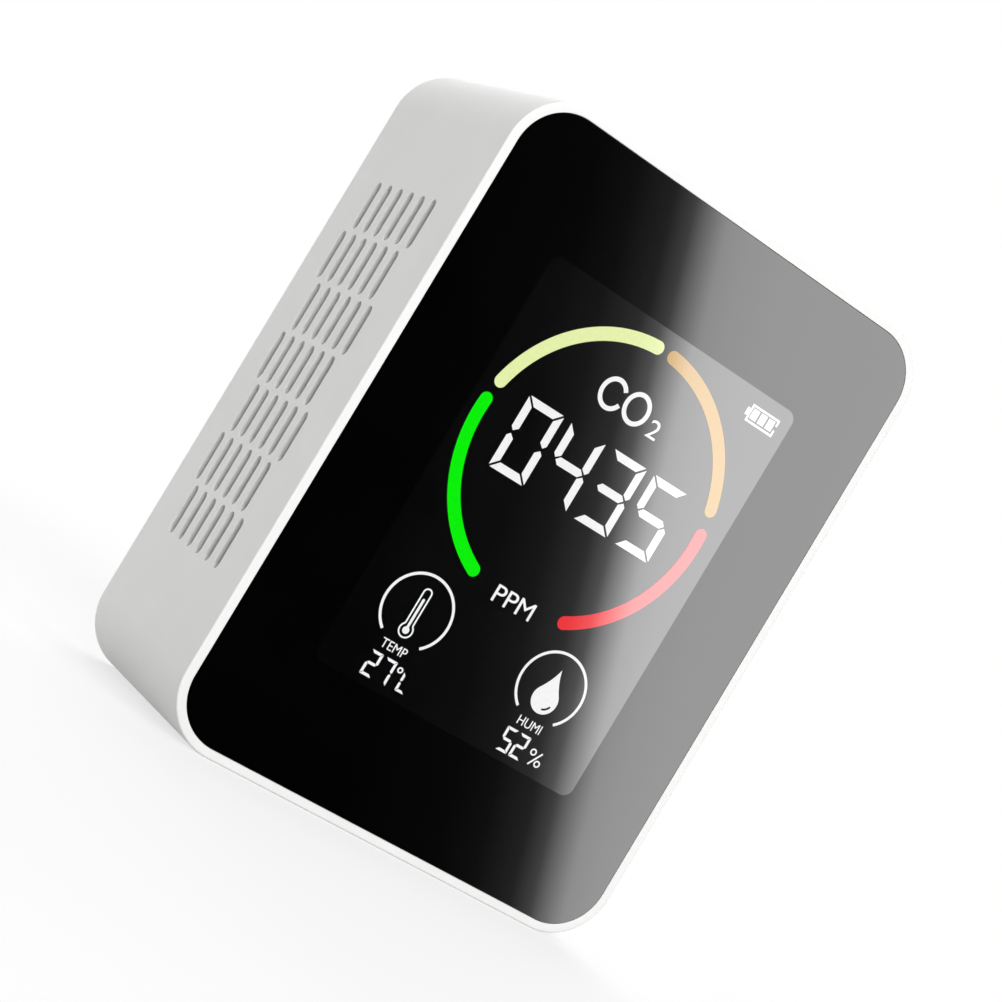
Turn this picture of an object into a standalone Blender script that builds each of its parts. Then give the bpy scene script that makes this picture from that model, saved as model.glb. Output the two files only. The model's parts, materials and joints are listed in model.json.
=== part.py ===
"""Air quality monitor: a white housing with a flush black window, side vents and its inner works.

Metres, +Z up. The window faces -Y and the origin is the middle of the footprint.
"""

import math

import bmesh
import bpy
from mathutils import Vector

# Outside: the display window, the black border round it and the white rim
WINDOW_W = 0.0402
WINDOW_H = 0.056
BORDER_X = 0.01165
BORDER_Z = 0.01525
RIM = 0.00125
DEPTH = 0.038
CORNER_R = 0.008
WALL = 0.002
FRONT_EDGE_R = 0.0004
BACK_EDGE_R = 0.0006

# Gaps between pieces that rest on each other, sit in a pocket or run in a hole
SEAT_GAP = 0.0002
SIDE_GAP = 0.0002
PANEL_GAP = 0.0001
RUN_GAP = 0.0002

# How far a joined form is sunk into what carries it, and how far a cut runs past a face
OVERLAP = 0.0005

# Side vents: rows of upright slots a little above the middle, every second row half a pitch further back
VENT_ROWS = 7
VENT_COLUMNS = 6
VENT_PITCH_Y = 0.00375
VENT_PITCH_Z = 0.00744
VENT_LAND_Y = 0.00195
VENT_LAND_Z = 0.00064
VENT_SETBACK = 0.0198
VENT_RISE = 0.0006

# Window panel and its adhesive frame
PANEL_T = 0.0015
PANEL_SET = 0.00005
PANEL_CHAMFER = 0.00015
TAPE_T = 0.0003
TAPE_INSET = 0.0006
TAPE_CLEAR = 0.0004

# Display cell, its carrier tray and its light
LCD_MARGIN_X = 0.0024
LCD_MARGIN_Z = 0.00275
LCD_T = 0.0022
LCD_LEDGE = 0.0025
LCD_AIR = 0.0004
TRAY_LIP = 0.0015
TRAY_BEARING = 0.001
TRAY_FLOOR = 0.001
TRAY_CORNER = 0.00075
PEG_R = 0.0009
PEG_INSET = 0.0022
PEG_PROUD = 0.0006
GUIDE_T = 0.0025
STRIP_H = 0.0036
STRIP_BASE = 0.001
LED_W = 0.003
LED_T = 0.00125
LED_COUNT = 6

# Flexible display lead and its socket
RIBBON_W = 0.018
RIBBON_T = 0.0002
RIBBON_SOCKET_H = 0.004
RIBBON_SOCKET_T = 0.0022
RIBBON_SOCKET_WALL = 0.001
RIBBON_DROP = 0.0045
RIBBON_ARRIVE = 0.00225
RIBBON_NOTCH_SIDE = 0.001

# Main board, its posts and screws
BOARD_T = 0.0016
BOARD_CLEAR = 0.001
POST_R = 0.0022
POST_SPREAD = 0.022
SHANK_R = 0.00095
SHANK_TIP_R = 0.0003
SHANK_CLEAR = 0.00025
HEAD_R = 0.0018
HEAD_H = 0.0014
HEAD_CROWN = 0.6
BOARD_SCREW_L = 0.005
PILOT_GAP = 0.00015
PILOT_SPARE = 0.0004

# Corner bosses, rear cover and its screws
COVER_T = 0.002
COVER_STEP = 0.0008
COVER_CHAMFER = 0.0003
BOSS_R = 0.003
BOSS_INSET = 0.0072
BOSS_RIB_T = 0.0014
BOSS_RIB_DROP = 0.004
COVER_SCREW_L = 0.009
COVER_HEAD_R = 0.002
COVER_HEAD_H = 0.001
COUNTERBORE_GAP = 0.0003
COUNTERBORE_DEPTH = 0.0013
LOCATOR_T = 0.0012
LOCATOR_H = 0.003
LOCATOR_L_Z = 0.036
LOCATOR_L_X = 0.028

# Gas sensor on the main board
GAS_X = -0.014
GAS_RISE = 0.010
GAS_BOARD_W = 0.020
GAS_BOARD_H = 0.033
GAS_BOARD_T = 0.0012
GAS_BOARD_CORNER = 0.001
GAS_HEADER_H = 0.0025
GAS_HEADER_W = 0.0025
GAS_HEADER_PITCH = 0.00254
GAS_HEADER_NIP = 0.0005
GAS_HEADER_PINS = 5
GAS_CHAMBER_INSET = 0.001
GAS_CHAMBER_END = 0.003
GAS_CHAMBER_H = 0.0075
GAS_CHAMBER_R = 0.002
GAS_CHAMBER_WALL = 0.0008
GAS_WINDOW_W = 0.010
GAS_WINDOW_H = 0.016
GAS_FILTER_LAP = 0.001
GAS_FILTER_T = 0.0004

# Temperature and humidity sensor, on a tongue of board between milled slots
CLIMATE_X = -0.018
CLIMATE_DROP = 0.021
CLIMATE_SIZE = 0.003
CLIMATE_H = 0.001
CLIMATE_PORT_R = 0.0006
CLIMATE_PORT_DEPTH = 0.0005
CLIMATE_MARGIN = 0.0012
CLIMATE_SLOT = 0.001

# Chips: their bodies and the leads on their sides
CHIP_CORNER = 0.0004
CHIP_STANDOFF = 0.0002
CHIP_LEAD_W = 0.00035
CHIP_LEAD_REACH = 0.001
CHIP_LEAD_RISE = 0.0008
MICRO_X = 0.013
MICRO_RISE = 0.010
MICRO_SIZE = 0.007
MICRO_H = 0.0014
MICRO_LEADS = 8
MICRO_PITCH = 0.0008
MICRO_SIDES = 4
CHARGER_CHIP_X = 0.003
CHARGER_CHIP_RISE = 0.003
CHARGER_CHIP_SIZE = 0.0042
CHARGER_CHIP_H = 0.0015
CHARGER_CHIP_LEADS = 4
CHARGER_CHIP_PITCH = 0.00127
CHARGER_CHIP_SIDES = 2
INDUCTOR_X = 0.002
INDUCTOR_DROP = 0.005
INDUCTOR_SIZE = 0.004
INDUCTOR_CORNER = 0.0007
INDUCTOR_H = 0.002

# Charger board on posts inside the rear cover
CHARGER_W = 0.044
CHARGER_H = 0.017
CHARGER_T = 0.0016
CHARGER_CORNER = 0.0015
CHARGER_UP = 0.0175
CHARGER_POST_R = 0.0024
CHARGER_POST_INSET = 0.003
CHARGER_SCREW_L = 0.006

# Power inlet
USB_X = -0.0095
USB_W = 0.00894
USB_H = 0.00326
USB_R = 0.0015
USB_WALL = 0.0003
USB_LENGTH = 0.0065
USB_FLOOR = 0.0006
USB_SET = 0.0006
USB_CUT_GAP = 0.0003
USB_TONGUE_W = 0.0067
USB_TONGUE_T = 0.0007
USB_TONGUE_EDGE = 0.00017
USB_TONGUE_SET = 0.0008

# Power button and the switch under it
BUTTON_X = 0.009
BUTTON_R = 0.004
BUTTON_SET = 0.0001
BUTTON_EDGE = 0.00015
BUTTON_LAND = 0.0008
BUTTON_DISH = 0.0003
BUTTON_FLANGE = 0.001
BUTTON_FLANGE_T = 0.0008
BUTTON_TRAVEL = 0.0004
SWITCH_SIZE = 0.006
SWITCH_H = 0.003
SWITCH_CORNER = 0.0008
SWITCH_BORE = 0.0012
PLUNGER_R = 0.00175

# Battery, stuck to the rear cover
BATTERY_W = 0.040
BATTERY_H = 0.034
BATTERY_T = 0.008
BATTERY_R = 0.003
BATTERY_SHOULDER = 0.001
BATTERY_SWELL = 0.002
BATTERY_TUCK = 0.00025
BATTERY_DOWN = 0.029
BATTERY_TAPE_T = 0.0004
BATTERY_TAPE_INSET = 0.005
BATTERY_RIB_T = 0.0012
BATTERY_RIB_H = 0.004
BATTERY_RIB_GAP = 0.0005
BATTERY_RIB_L_X = 0.026
BATTERY_RIB_L_Z = 0.022
PROTECTION_W = 0.030
PROTECTION_H = 0.0035
PROTECTION_T = 0.002

# Wire plugs and leads
PLUG_PITCH = 0.002
SOCKET_END = 0.0012
SOCKET_WALL = 0.0006
SOCKET_T = 0.0045
SOCKET_L = 0.006
PLUG_PROUD = 0.0015
LINK_X = -0.008
LINK_WIRES = 4
LINK_PITCH = 0.00105
LINK_WIRE_R = 0.0006
LINK_MAIN_DROP = 0.0175
LINK_CHARGER_DROP = 0.0005
LINK_SAG = 0.012
BATTERY_PLUG_X = 0.012
BATTERY_PLUG_RISE = 0.001
BATTERY_LEADS = ("battery_lead_black", "battery_lead_red")
LEAD_R = 0.00065
LEAD_SPREAD = 0.004
LEAD_SLACK = 0.009

# Facets of round forms
CORNER_STEPS = 10
SMALL_STEPS = 4
WIRE_STEPS = 3
ROUND_SIDES = 12
BUTTON_SIDES = 32
DISH_STEPS = 3
PATH_STEPS = 12
LEAD_RESOLUTION = 2
SHARP_DEG = 30

# Overall size and the planes that follow from it
PANEL_W = WINDOW_W + 2 * BORDER_X
PANEL_H = WINDOW_H + 2 * BORDER_Z
WIDTH = PANEL_W + 2 * RIM
HEIGHT = PANEL_H + 2 * RIM
FRONT = -DEPTH / 2
BACK = DEPTH / 2
MID_Z = HEIGHT / 2
CAVITY_W = WIDTH - 2 * WALL
CAVITY_H = HEIGHT - 2 * WALL

PANEL_FRONT = FRONT + PANEL_SET
PANEL_BACK = PANEL_FRONT + PANEL_T
TAPE_FRONT = PANEL_BACK + SEAT_GAP
TAPE_BACK = TAPE_FRONT + TAPE_T
PLATE_FRONT = TAPE_BACK + SEAT_GAP
LCD_FRONT = PANEL_BACK + LCD_AIR
LCD_STEP = LCD_FRONT + LCD_T / 2
LCD_BACK = LCD_FRONT + LCD_T
PLATE_BACK = LCD_BACK
TRAY_FRONT = LCD_BACK + SEAT_GAP
GUIDE_BACK = TRAY_FRONT + GUIDE_T
GUIDE_MID = TRAY_FRONT + GUIDE_T / 2
TRAY_POCKET = GUIDE_BACK + SEAT_GAP
TRAY_BACK = TRAY_POCKET + TRAY_FLOOR
BOARD_FRONT = TRAY_BACK + SEAT_GAP
BOARD_BACK = BOARD_FRONT + BOARD_T
COVER_INNER = BACK - COVER_T
COVER_SEAT = COVER_INNER - SEAT_GAP

LCD_W = WINDOW_W + 2 * LCD_MARGIN_X
LCD_H = WINDOW_H + 2 * LCD_MARGIN_Z
LCD_BOTTOM = MID_Z - LCD_H / 2
TRAY_W = LCD_W + 2 * TRAY_LIP
TRAY_H = LCD_H + 2 * TRAY_LIP
POCKET_W = LCD_W - 2 * TRAY_BEARING
POCKET_H = LCD_H - 2 * TRAY_BEARING
BOARD_W = CAVITY_W - 2 * BOARD_CLEAR
BOARD_H = CAVITY_H - 2 * BOARD_CLEAR
BOSS_X = WIDTH / 2 - BOSS_INSET
BOSS_Z = HEIGHT / 2 - BOSS_INSET
POST_X = TRAY_W / 2 + POST_R + 2 * SIDE_GAP
PILOT_R = SHANK_R + PILOT_GAP
HOLE_R = SHANK_R + SHANK_CLEAR

USB_MOUTH = BACK - USB_SET
USB_BASE = USB_MOUTH - USB_LENGTH
CHARGER_BACK = USB_BASE - SEAT_GAP
CHARGER_FRONT = CHARGER_BACK - CHARGER_T
CHARGER_POST_X = CHARGER_W / 2 - CHARGER_POST_INSET
BATTERY_Z = HEIGHT - BATTERY_DOWN
BATTERY_BACK = COVER_INNER - BATTERY_TAPE_T - 2 * SEAT_GAP
BATTERY_FRONT = BATTERY_BACK - BATTERY_T
BATTERY_MID = (BATTERY_FRONT + BATTERY_BACK) / 2
BATTERY_BOTTOM = BATTERY_Z - BATTERY_H / 2
FLANGE_BACK = COVER_INNER - SEAT_GAP
FLANGE_FRONT = FLANGE_BACK - BUTTON_FLANGE_T
SWITCH_TOP = CHARGER_BACK + SEAT_GAP + SWITCH_H


def rounded(width, height, radius, steps=CORNER_STEPS):
    """A rounded rectangle's outline about its centre."""
    points = []
    for quarter, (side, end) in enumerate(((1, 1), (-1, 1), (-1, -1), (1, -1))):
        for step in range(steps + 1):
            angle = math.pi / 2 * (quarter + step / steps)
            u = side * (width / 2 - radius) + radius * math.cos(angle)
            v = end * (height / 2 - radius) + radius * math.sin(angle)
            points.append((u, v))
    return points


def rectangle(width, height):
    """A square-cornered outline about its centre."""
    u = width / 2
    v = height / 2
    return [(u, -v), (u, v), (-u, v), (-u, -v)]


def circle(radius, sides=ROUND_SIDES):
    """A round outline about its centre."""
    turns = [2 * math.pi * side / sides for side in range(sides)]
    return [(radius * math.cos(turn), radius * math.sin(turn)) for turn in turns]


def slot(width, length, steps=SMALL_STEPS):
    """An upright slot outline with round ends."""
    points = []
    for end in (1, -1):
        for step in range(steps + 1):
            angle = math.pi * (step / steps + (end < 0))
            u = width / 2 * math.cos(angle)
            v = end * (length - width) / 2 + width / 2 * math.sin(angle)
            points.append((u, v))
    return points


def quarter_turn(steps=SMALL_STEPS):
    """Sine and cosine pairs of a quarter circle, from its start to its end."""
    turns = [math.pi / 2 * step / (steps - 1) for step in range(steps)]
    return [(math.sin(turn), math.cos(turn)) for turn in turns]


def moved(outline, du, dv):
    """An outline shifted in its own plane."""
    return [(u + du, v + dv) for u, v in outline]


def at_axis(u, v, t, axis):
    """A point of an outline at distance t along the axis that it is extruded on."""
    return {"X": (t, u, v), "Y": (u, t, v), "Z": (u, v, t)}[axis]


def new_object(name, mesh):
    """Turn a finished bmesh into a linked object with outward faces."""
    bmesh.ops.recalc_face_normals(mesh, faces=mesh.faces[:])
    data = bpy.data.meshes.new(name)
    mesh.to_mesh(data)
    mesh.free()
    obj = bpy.data.objects.new(name, data)
    bpy.context.scene.collection.objects.link(obj)
    return obj


def add_skin(mesh, loops, closed=False):
    """Faces between neighbouring loops of points, with end caps or closed into a ring."""
    rows = [[mesh.verts.new(point) for point in loop] for loop in loops]
    pairs = list(zip(rows, rows[1:]))
    if closed:
        pairs.append((rows[-1], rows[0]))
    else:
        mesh.faces.new(rows[0])
        mesh.faces.new(rows[-1])
    for low, high in pairs:
        for here in range(len(low)):
            there = (here + 1) % len(low)
            mesh.faces.new((low[here], low[there], high[there], high[here]))


def loft(name, levels, axis="Y", closed=False):
    """A solid through outlines of equal point count at distances along an axis."""
    mesh = bmesh.new()
    loops = [[at_axis(u, v, t, axis) for u, v in outline] for t, outline in levels]
    add_skin(mesh, loops, closed)
    return new_object(name, mesh)


def prism(name, outline, low, high, axis="Y"):
    """A straight extrusion of one outline."""
    return loft(name, [(low, outline), (high, outline)], axis)


def prisms(name, outlines, spans, axis):
    """One object of several separate extrusions, used as a cutter or joined to a body."""
    mesh = bmesh.new()
    for low, high in spans:
        for outline in outlines:
            add_skin(mesh, [[at_axis(u, v, t, axis) for u, v in outline] for t in (low, high)])
    return new_object(name, mesh)


def block(name, across, deep, tall):
    """A box from its spans in X, Y and Z."""
    outline = [(across[1], tall[0]), (across[1], tall[1]), (across[0], tall[1]), (across[0], tall[0])]
    return prism(name, outline, deep[0], deep[1])


def turned(name, profile, x, z, sides=ROUND_SIDES):
    """A solid of revolution about a line along Y, from pairs of radius and depth between its poles."""
    mesh = bmesh.new()
    first = mesh.verts.new((0, profile[0][1], 0))
    last = mesh.verts.new((0, profile[-1][1], 0))
    rings = []
    for radius, y in profile[1:-1]:
        rings.append([mesh.verts.new((u, y, v)) for u, v in circle(radius, sides)])
    for here in range(sides):
        there = (here + 1) % sides
        mesh.faces.new((first, rings[0][here], rings[0][there]))
        mesh.faces.new((last, rings[-1][here], rings[-1][there]))
        for low, high in zip(rings, rings[1:]):
            mesh.faces.new((low[here], low[there], high[there], high[here]))
    obj = new_object(name, mesh)
    obj.location = (x, 0, z)
    return obj


def combine(target, tool, operation):
    """Apply a boolean with a tool and remove the tool."""
    modifier = target.modifiers.new(operation.lower(), "BOOLEAN")
    modifier.operation = operation
    modifier.solver = "EXACT"
    modifier.object = tool
    bpy.context.view_layer.update()
    depsgraph = bpy.context.evaluated_depsgraph_get()
    result = bpy.data.meshes.new_from_object(target.evaluated_get(depsgraph))
    target.modifiers.clear()
    before = target.data
    target.data = result
    result.name = target.name
    bpy.data.meshes.remove(before)
    bpy.data.objects.remove(tool)


def join(target, tool):
    """Add a tool to a piece."""
    combine(target, tool, "UNION")


def cut(target, tool):
    """Take a tool out of a piece."""
    combine(target, tool, "DIFFERENCE")


def finish(obj, material):
    """Give a piece its material and smooth shading between its sharp edges."""
    obj.data.materials.clear()
    obj.data.materials.append(material)
    obj.data.shade_smooth()
    obj.data.set_sharp_from_angle(angle=math.radians(SHARP_DEG))


def surface(name, colour, roughness, metallic=0.0):
    """A plain surface with one colour."""
    material = bpy.data.materials.new(name)
    material.use_nodes = True
    shader = material.node_tree.nodes["Principled BSDF"]
    shader.inputs["Base Color"].default_value = (*colour, 1)
    shader.inputs["Roughness"].default_value = roughness
    shader.inputs["Metallic"].default_value = metallic
    return material


def curve_between(start, leave, arrive, end, steps=PATH_STEPS):
    """Points of a smooth curve that starts towards leave and comes in from arrive."""
    points = []
    for step in range(steps + 1):
        t = step / steps
        s = 1 - t
        points.append(s**3 * start + 3 * s * s * t * leave + 3 * s * t * t * arrive + t**3 * end)
    return points


def sweep(name, profile, path, x):
    """A flat band along a path in the YZ plane; the profile is across X and through the band."""
    mesh = bmesh.new()
    loops = []
    for index, point in enumerate(path):
        before = path[max(index - 1, 0)]
        after = path[min(index + 1, len(path) - 1)]
        along = (after - before).normalized()
        through = Vector((-along.y, along.x))
        loops.append([(x + u, point.x + v * through.x, point.y + v * through.y) for u, v in profile])
    add_skin(mesh, loops)
    return new_object(name, mesh)


def build_housing(material):
    """The shell, one ring of outlines: over the rim, back along the sides and in round the display."""

    def outer(inset):
        return rounded(WIDTH - 2 * inset, HEIGHT - 2 * inset, CORNER_R - inset)

    recess = rounded(PANEL_W + 2 * PANEL_GAP, PANEL_H + 2 * PANEL_GAP, CORNER_R - RIM + PANEL_GAP)
    opening = rounded(LCD_W + 2 * SIDE_GAP, LCD_H + 2 * SIDE_GAP, SIDE_GAP)
    cavity = outer(WALL)
    cover_seat = outer(WALL - COVER_STEP)
    levels = [(FRONT, recess)]
    for sine, cosine in quarter_turn():
        levels.append((FRONT + FRONT_EDGE_R * (1 - cosine), outer(FRONT_EDGE_R * (1 - sine))))
    for sine, cosine in quarter_turn():
        levels.append((BACK - BACK_EDGE_R * (1 - sine), outer(BACK_EDGE_R * (1 - cosine))))
    levels += [
        (BACK, cover_seat),
        (COVER_SEAT, cover_seat),
        (COVER_SEAT, cavity),
        (PLATE_BACK, cavity),
        (PLATE_BACK, opening),
        (PLATE_FRONT, opening),
        (PLATE_FRONT, recess),
    ]
    levels = [(y, moved(outline, 0, MID_Z)) for y, outline in levels]
    housing = loft("housing", levels, closed=True)
    add_bosses(housing)
    add_posts(housing)
    half = RIBBON_W / 2 + RIBBON_NOTCH_SIDE
    deep = (PLATE_FRONT - OVERLAP, PLATE_BACK + OVERLAP)
    top = LCD_BOTTOM + SIDE_GAP
    cut(housing, block("ribbon_notch", (-half, half), deep, (top - RIBBON_DROP, top)))
    cut(housing, vent_cutter())
    finish(housing, material)


def corners():
    """Signs of the four corners, lower ones first."""
    return [(side, end) for end in (-1, 1) for side in (-1, 1)]


def add_bosses(housing):
    """Corner bosses for the cover screws, each tied to both walls by a rib."""
    root = PLATE_BACK - OVERLAP
    rib_top = COVER_SEAT - BOSS_RIB_DROP
    half = BOSS_RIB_T / 2
    for side, end in corners():
        x = side * BOSS_X
        z = MID_Z + end * BOSS_Z
        wall_x = side * (WIDTH - WALL) / 2
        wall_z = MID_Z + end * (HEIGHT - WALL) / 2
        join(housing, prism("boss", moved(circle(BOSS_R), x, z), root, COVER_SEAT))
        join(housing, block("rib", sorted((x, wall_x)), (root, rib_top), (z - half, z + half)))
        join(housing, block("rib", (x - half, x + half), (root, rib_top), sorted((z, wall_z))))
        tip = COVER_INNER - COVER_SCREW_L
        cut(housing, prism("pilot", moved(circle(PILOT_R), x, z), tip, COVER_SEAT + OVERLAP))


def add_posts(housing):
    """Posts that the main board is screwed to."""
    for side, end in corners():
        at = (side * POST_X, MID_Z + end * POST_SPREAD)
        top = BOARD_FRONT - SEAT_GAP
        join(housing, prism("post", moved(circle(POST_R), *at), PLATE_BACK - OVERLAP, top))
        tip = BOARD_BACK + SEAT_GAP - BOARD_SCREW_L - PILOT_SPARE
        cut(housing, prism("pilot", moved(circle(PILOT_R), *at), tip, top + OVERLAP))


def vent_cutter():
    """Every slot of both sides."""
    shape = slot(VENT_PITCH_Y - VENT_LAND_Y, VENT_PITCH_Z - VENT_LAND_Z)
    outlines = []
    for row in range(VENT_ROWS):
        z = MID_Z + VENT_RISE + ((VENT_ROWS - 1) / 2 - row) * VENT_PITCH_Z
        stagger = VENT_PITCH_Y / 4 * (1 if row % 2 else -1)
        for column in range(VENT_COLUMNS):
            across = (column - (VENT_COLUMNS - 1) / 2) * VENT_PITCH_Y
            outlines.append(moved(shape, FRONT + VENT_SETBACK + across + stagger, z))
    inside = CAVITY_W / 2 - OVERLAP
    outside = WIDTH / 2 + OVERLAP
    return prisms("vents", outlines, [(-outside, -inside), (inside, outside)], "X")


def build_front(panel_material, tape_material):
    """The window panel in its recess, and the tape frame that holds it."""

    def panel(inset):
        outline = rounded(PANEL_W - 2 * inset, PANEL_H - 2 * inset, CORNER_R - RIM - inset)
        return moved(outline, 0, MID_Z)

    levels = [
        (PANEL_FRONT, panel(PANEL_CHAMFER)),
        (PANEL_FRONT + PANEL_CHAMFER, panel(0)),
        (PANEL_BACK, panel(0)),
    ]
    finish(loft("front_panel", levels), panel_material)
    inner = moved(rounded(LCD_W + 2 * TAPE_CLEAR, LCD_H + 2 * TAPE_CLEAR, TAPE_CLEAR), 0, MID_Z)
    outer = panel(TAPE_INSET)
    levels = [(TAPE_FRONT, outer), (TAPE_BACK, outer), (TAPE_BACK, inner), (TAPE_FRONT, inner)]
    finish(loft("panel_tape", levels, closed=True), tape_material)


def build_display(glass, white, acrylic, flex):
    """The display cell on its tray, with the light guide and the strip of lamps in the tray's pocket."""
    top = LCD_BOTTOM + LCD_H
    profile = [
        (LCD_BACK, LCD_BOTTOM),
        (LCD_BACK, top),
        (LCD_FRONT, top),
        (LCD_FRONT, LCD_BOTTOM + LCD_LEDGE),
        (LCD_STEP, LCD_BOTTOM + LCD_LEDGE),
        (LCD_STEP, LCD_BOTTOM),
    ]
    finish(prism("lcd_cell", profile, -LCD_W / 2, LCD_W / 2, "X"), glass)

    outline = moved(rounded(TRAY_W, TRAY_H, TRAY_CORNER, SMALL_STEPS), 0, MID_Z)
    tray = prism("lcd_tray", outline, TRAY_FRONT, TRAY_BACK)
    pocket = moved(rectangle(POCKET_W, POCKET_H), 0, MID_Z)
    cut(tray, prism("pocket", pocket, TRAY_FRONT - OVERLAP, TRAY_POCKET))
    for at in peg_places():
        peg = moved(circle(PEG_R), *at)
        join(tray, prism("peg", peg, TRAY_BACK - OVERLAP, BOARD_BACK + PEG_PROUD))
    finish(tray, white)

    guide_w = POCKET_W - 2 * SIDE_GAP
    across = (-guide_w / 2, guide_w / 2)
    deep = (TRAY_FRONT, GUIDE_BACK)
    pocket_bottom = MID_Z - POCKET_H / 2
    guide_bottom = pocket_bottom + STRIP_H + SIDE_GAP
    guide_top = MID_Z + POCKET_H / 2 - SIDE_GAP
    finish(block("light_guide", across, deep, (guide_bottom, guide_top)), acrylic)

    strip_low = pocket_bottom + SIDE_GAP
    strip_high = strip_low + STRIP_BASE
    strip = block("backlight_strip", across, deep, (strip_low, strip_high))
    led_deep = (GUIDE_MID - LED_T / 2, GUIDE_MID + LED_T / 2)
    led_tall = (strip_high - OVERLAP, guide_bottom - SIDE_GAP)
    for index in range(LED_COUNT):
        x = guide_w * ((index + 0.5) / LED_COUNT - 0.5)
        join(strip, block("led", (x - LED_W / 2, x + LED_W / 2), led_deep, led_tall))
    finish(strip, flex)


def peg_places():
    """Two opposite corners of the display tray."""
    x = TRAY_W / 2 - PEG_INSET
    z = TRAY_H / 2 - PEG_INSET
    return [(-x, MID_Z - z), (x, MID_Z + z)]


def build_ribbon(flex, black):
    """The display's flexible lead: from the cell's ledge, under the tray and down to its socket."""
    socket_front = BOARD_FRONT - SEAT_GAP - RIBBON_SOCKET_T
    socket_mid = socket_front + RIBBON_SOCKET_T / 2
    socket_bottom = MID_Z - BOARD_H / 2 + RIBBON_SOCKET_WALL
    socket_top = socket_bottom + RIBBON_SOCKET_H
    half = RIBBON_W / 2 + RIBBON_SOCKET_WALL
    span = (socket_front, BOARD_FRONT - SEAT_GAP)
    socket = block("ribbon_socket", (-half, half), span, (socket_bottom, socket_top))
    mouth = RIBBON_T / 2 + SEAT_GAP
    floor = socket_bottom + RIBBON_SOCKET_WALL
    wide = RIBBON_W / 2 + SIDE_GAP
    deep = (socket_mid - mouth, socket_mid + mouth)
    cut(socket, block("mouth", (-wide, wide), deep, (floor, socket_top + OVERLAP)))
    finish(socket, black)

    ledge_y = LCD_STEP - SEAT_GAP - RIBBON_T / 2
    start = Vector((ledge_y, LCD_BOTTOM - SIDE_GAP))
    end = Vector((socket_mid, socket_top))
    leave = start - Vector((0, RIBBON_DROP))
    arrive = end + Vector((0, RIBBON_ARRIVE))
    path = [Vector((ledge_y, LCD_BOTTOM + LCD_LEDGE - SIDE_GAP))]
    path += curve_between(start, leave, arrive, end)
    path.append(Vector((socket_mid, floor + SEAT_GAP)))
    finish(sweep("lcd_ribbon", rectangle(RIBBON_W, RIBBON_T), path, 0), flex)


def build_main_board(material):
    """A board with its corners cut away round the bosses, screw holes and a slot round one sensor."""
    x = BOARD_W / 2
    z = BOARD_H / 2
    notch_x = BOSS_X - BOSS_R - BOARD_CLEAR
    notch_z = BOSS_Z - BOSS_R - BOARD_CLEAR
    corner = [(x, notch_z), (notch_x, notch_z), (notch_x, z)]
    outline = corner + [(-u, v) for u, v in reversed(corner)]
    outline += [(-u, -v) for u, v in outline]
    board = prism("main_board", moved(outline, 0, MID_Z), BOARD_FRONT, BOARD_BACK)
    past = (BOARD_FRONT - OVERLAP, BOARD_BACK + OVERLAP)
    for side, end in corners():
        at = (side * POST_X, MID_Z + end * POST_SPREAD)
        cut(board, prism("hole", moved(circle(HOLE_R), *at), *past))
    for at in peg_places():
        cut(board, prism("hole", moved(circle(PEG_R + RUN_GAP), *at), *past))
    inner = CLIMATE_SIZE / 2 + CLIMATE_MARGIN
    outer = inner + CLIMATE_SLOT
    milled = [
        (-outer, -outer),
        (outer, -outer),
        (outer, inner),
        (inner, inner),
        (inner, -inner),
        (-inner, -inner),
        (-inner, inner),
        (-outer, inner),
    ]
    cut(board, prism("milled_slot", moved(milled, CLIMATE_X, MID_Z - CLIMATE_DROP), *past))
    finish(board, material)


def build_screw(name, at, seat, toward, head, length, material):
    """A domed screw; the head stands on its seat and the shank runs toward -Y or +Y."""
    head_r, head_h = head
    profile = [
        (0, seat - toward * head_h),
        (head_r * HEAD_CROWN, seat - toward * head_h),
        (head_r, seat - toward * head_h * HEAD_CROWN),
        (head_r, seat),
        (SHANK_R, seat),
        (SHANK_R, seat + toward * (length - SHANK_R)),
        (SHANK_TIP_R, seat + toward * length),
        (0, seat + toward * length),
    ]
    finish(turned(name, profile, *at), material)


def build_screws(material):
    """Four in the main board, four in the rear cover and two in the charger board."""
    head = (HEAD_R, HEAD_H)
    board_seat = BOARD_BACK + SEAT_GAP
    for number, (side, end) in enumerate(corners(), 1):
        at = (side * POST_X, MID_Z + end * POST_SPREAD)
        build_screw(f"board_screw_{number}", at, board_seat, -1, head, BOARD_SCREW_L, material)
    charger_seat = CHARGER_FRONT - SEAT_GAP
    for number, side in enumerate((-1, 1), 1):
        at = (side * CHARGER_POST_X, CHARGER_UP)
        build_screw(f"charger_screw_{number}", at, charger_seat, 1, head, CHARGER_SCREW_L, material)
    head = (COVER_HEAD_R, COVER_HEAD_H)
    cover_seat = BACK - COUNTERBORE_DEPTH + SEAT_GAP
    length = COVER_SCREW_L - (COVER_T - COUNTERBORE_DEPTH)
    for number, (side, end) in enumerate(corners(), 1):
        at = (side * BOSS_X, MID_Z + end * BOSS_Z)
        build_screw(f"cover_screw_{number}", at, cover_seat, -1, head, length, material)


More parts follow.
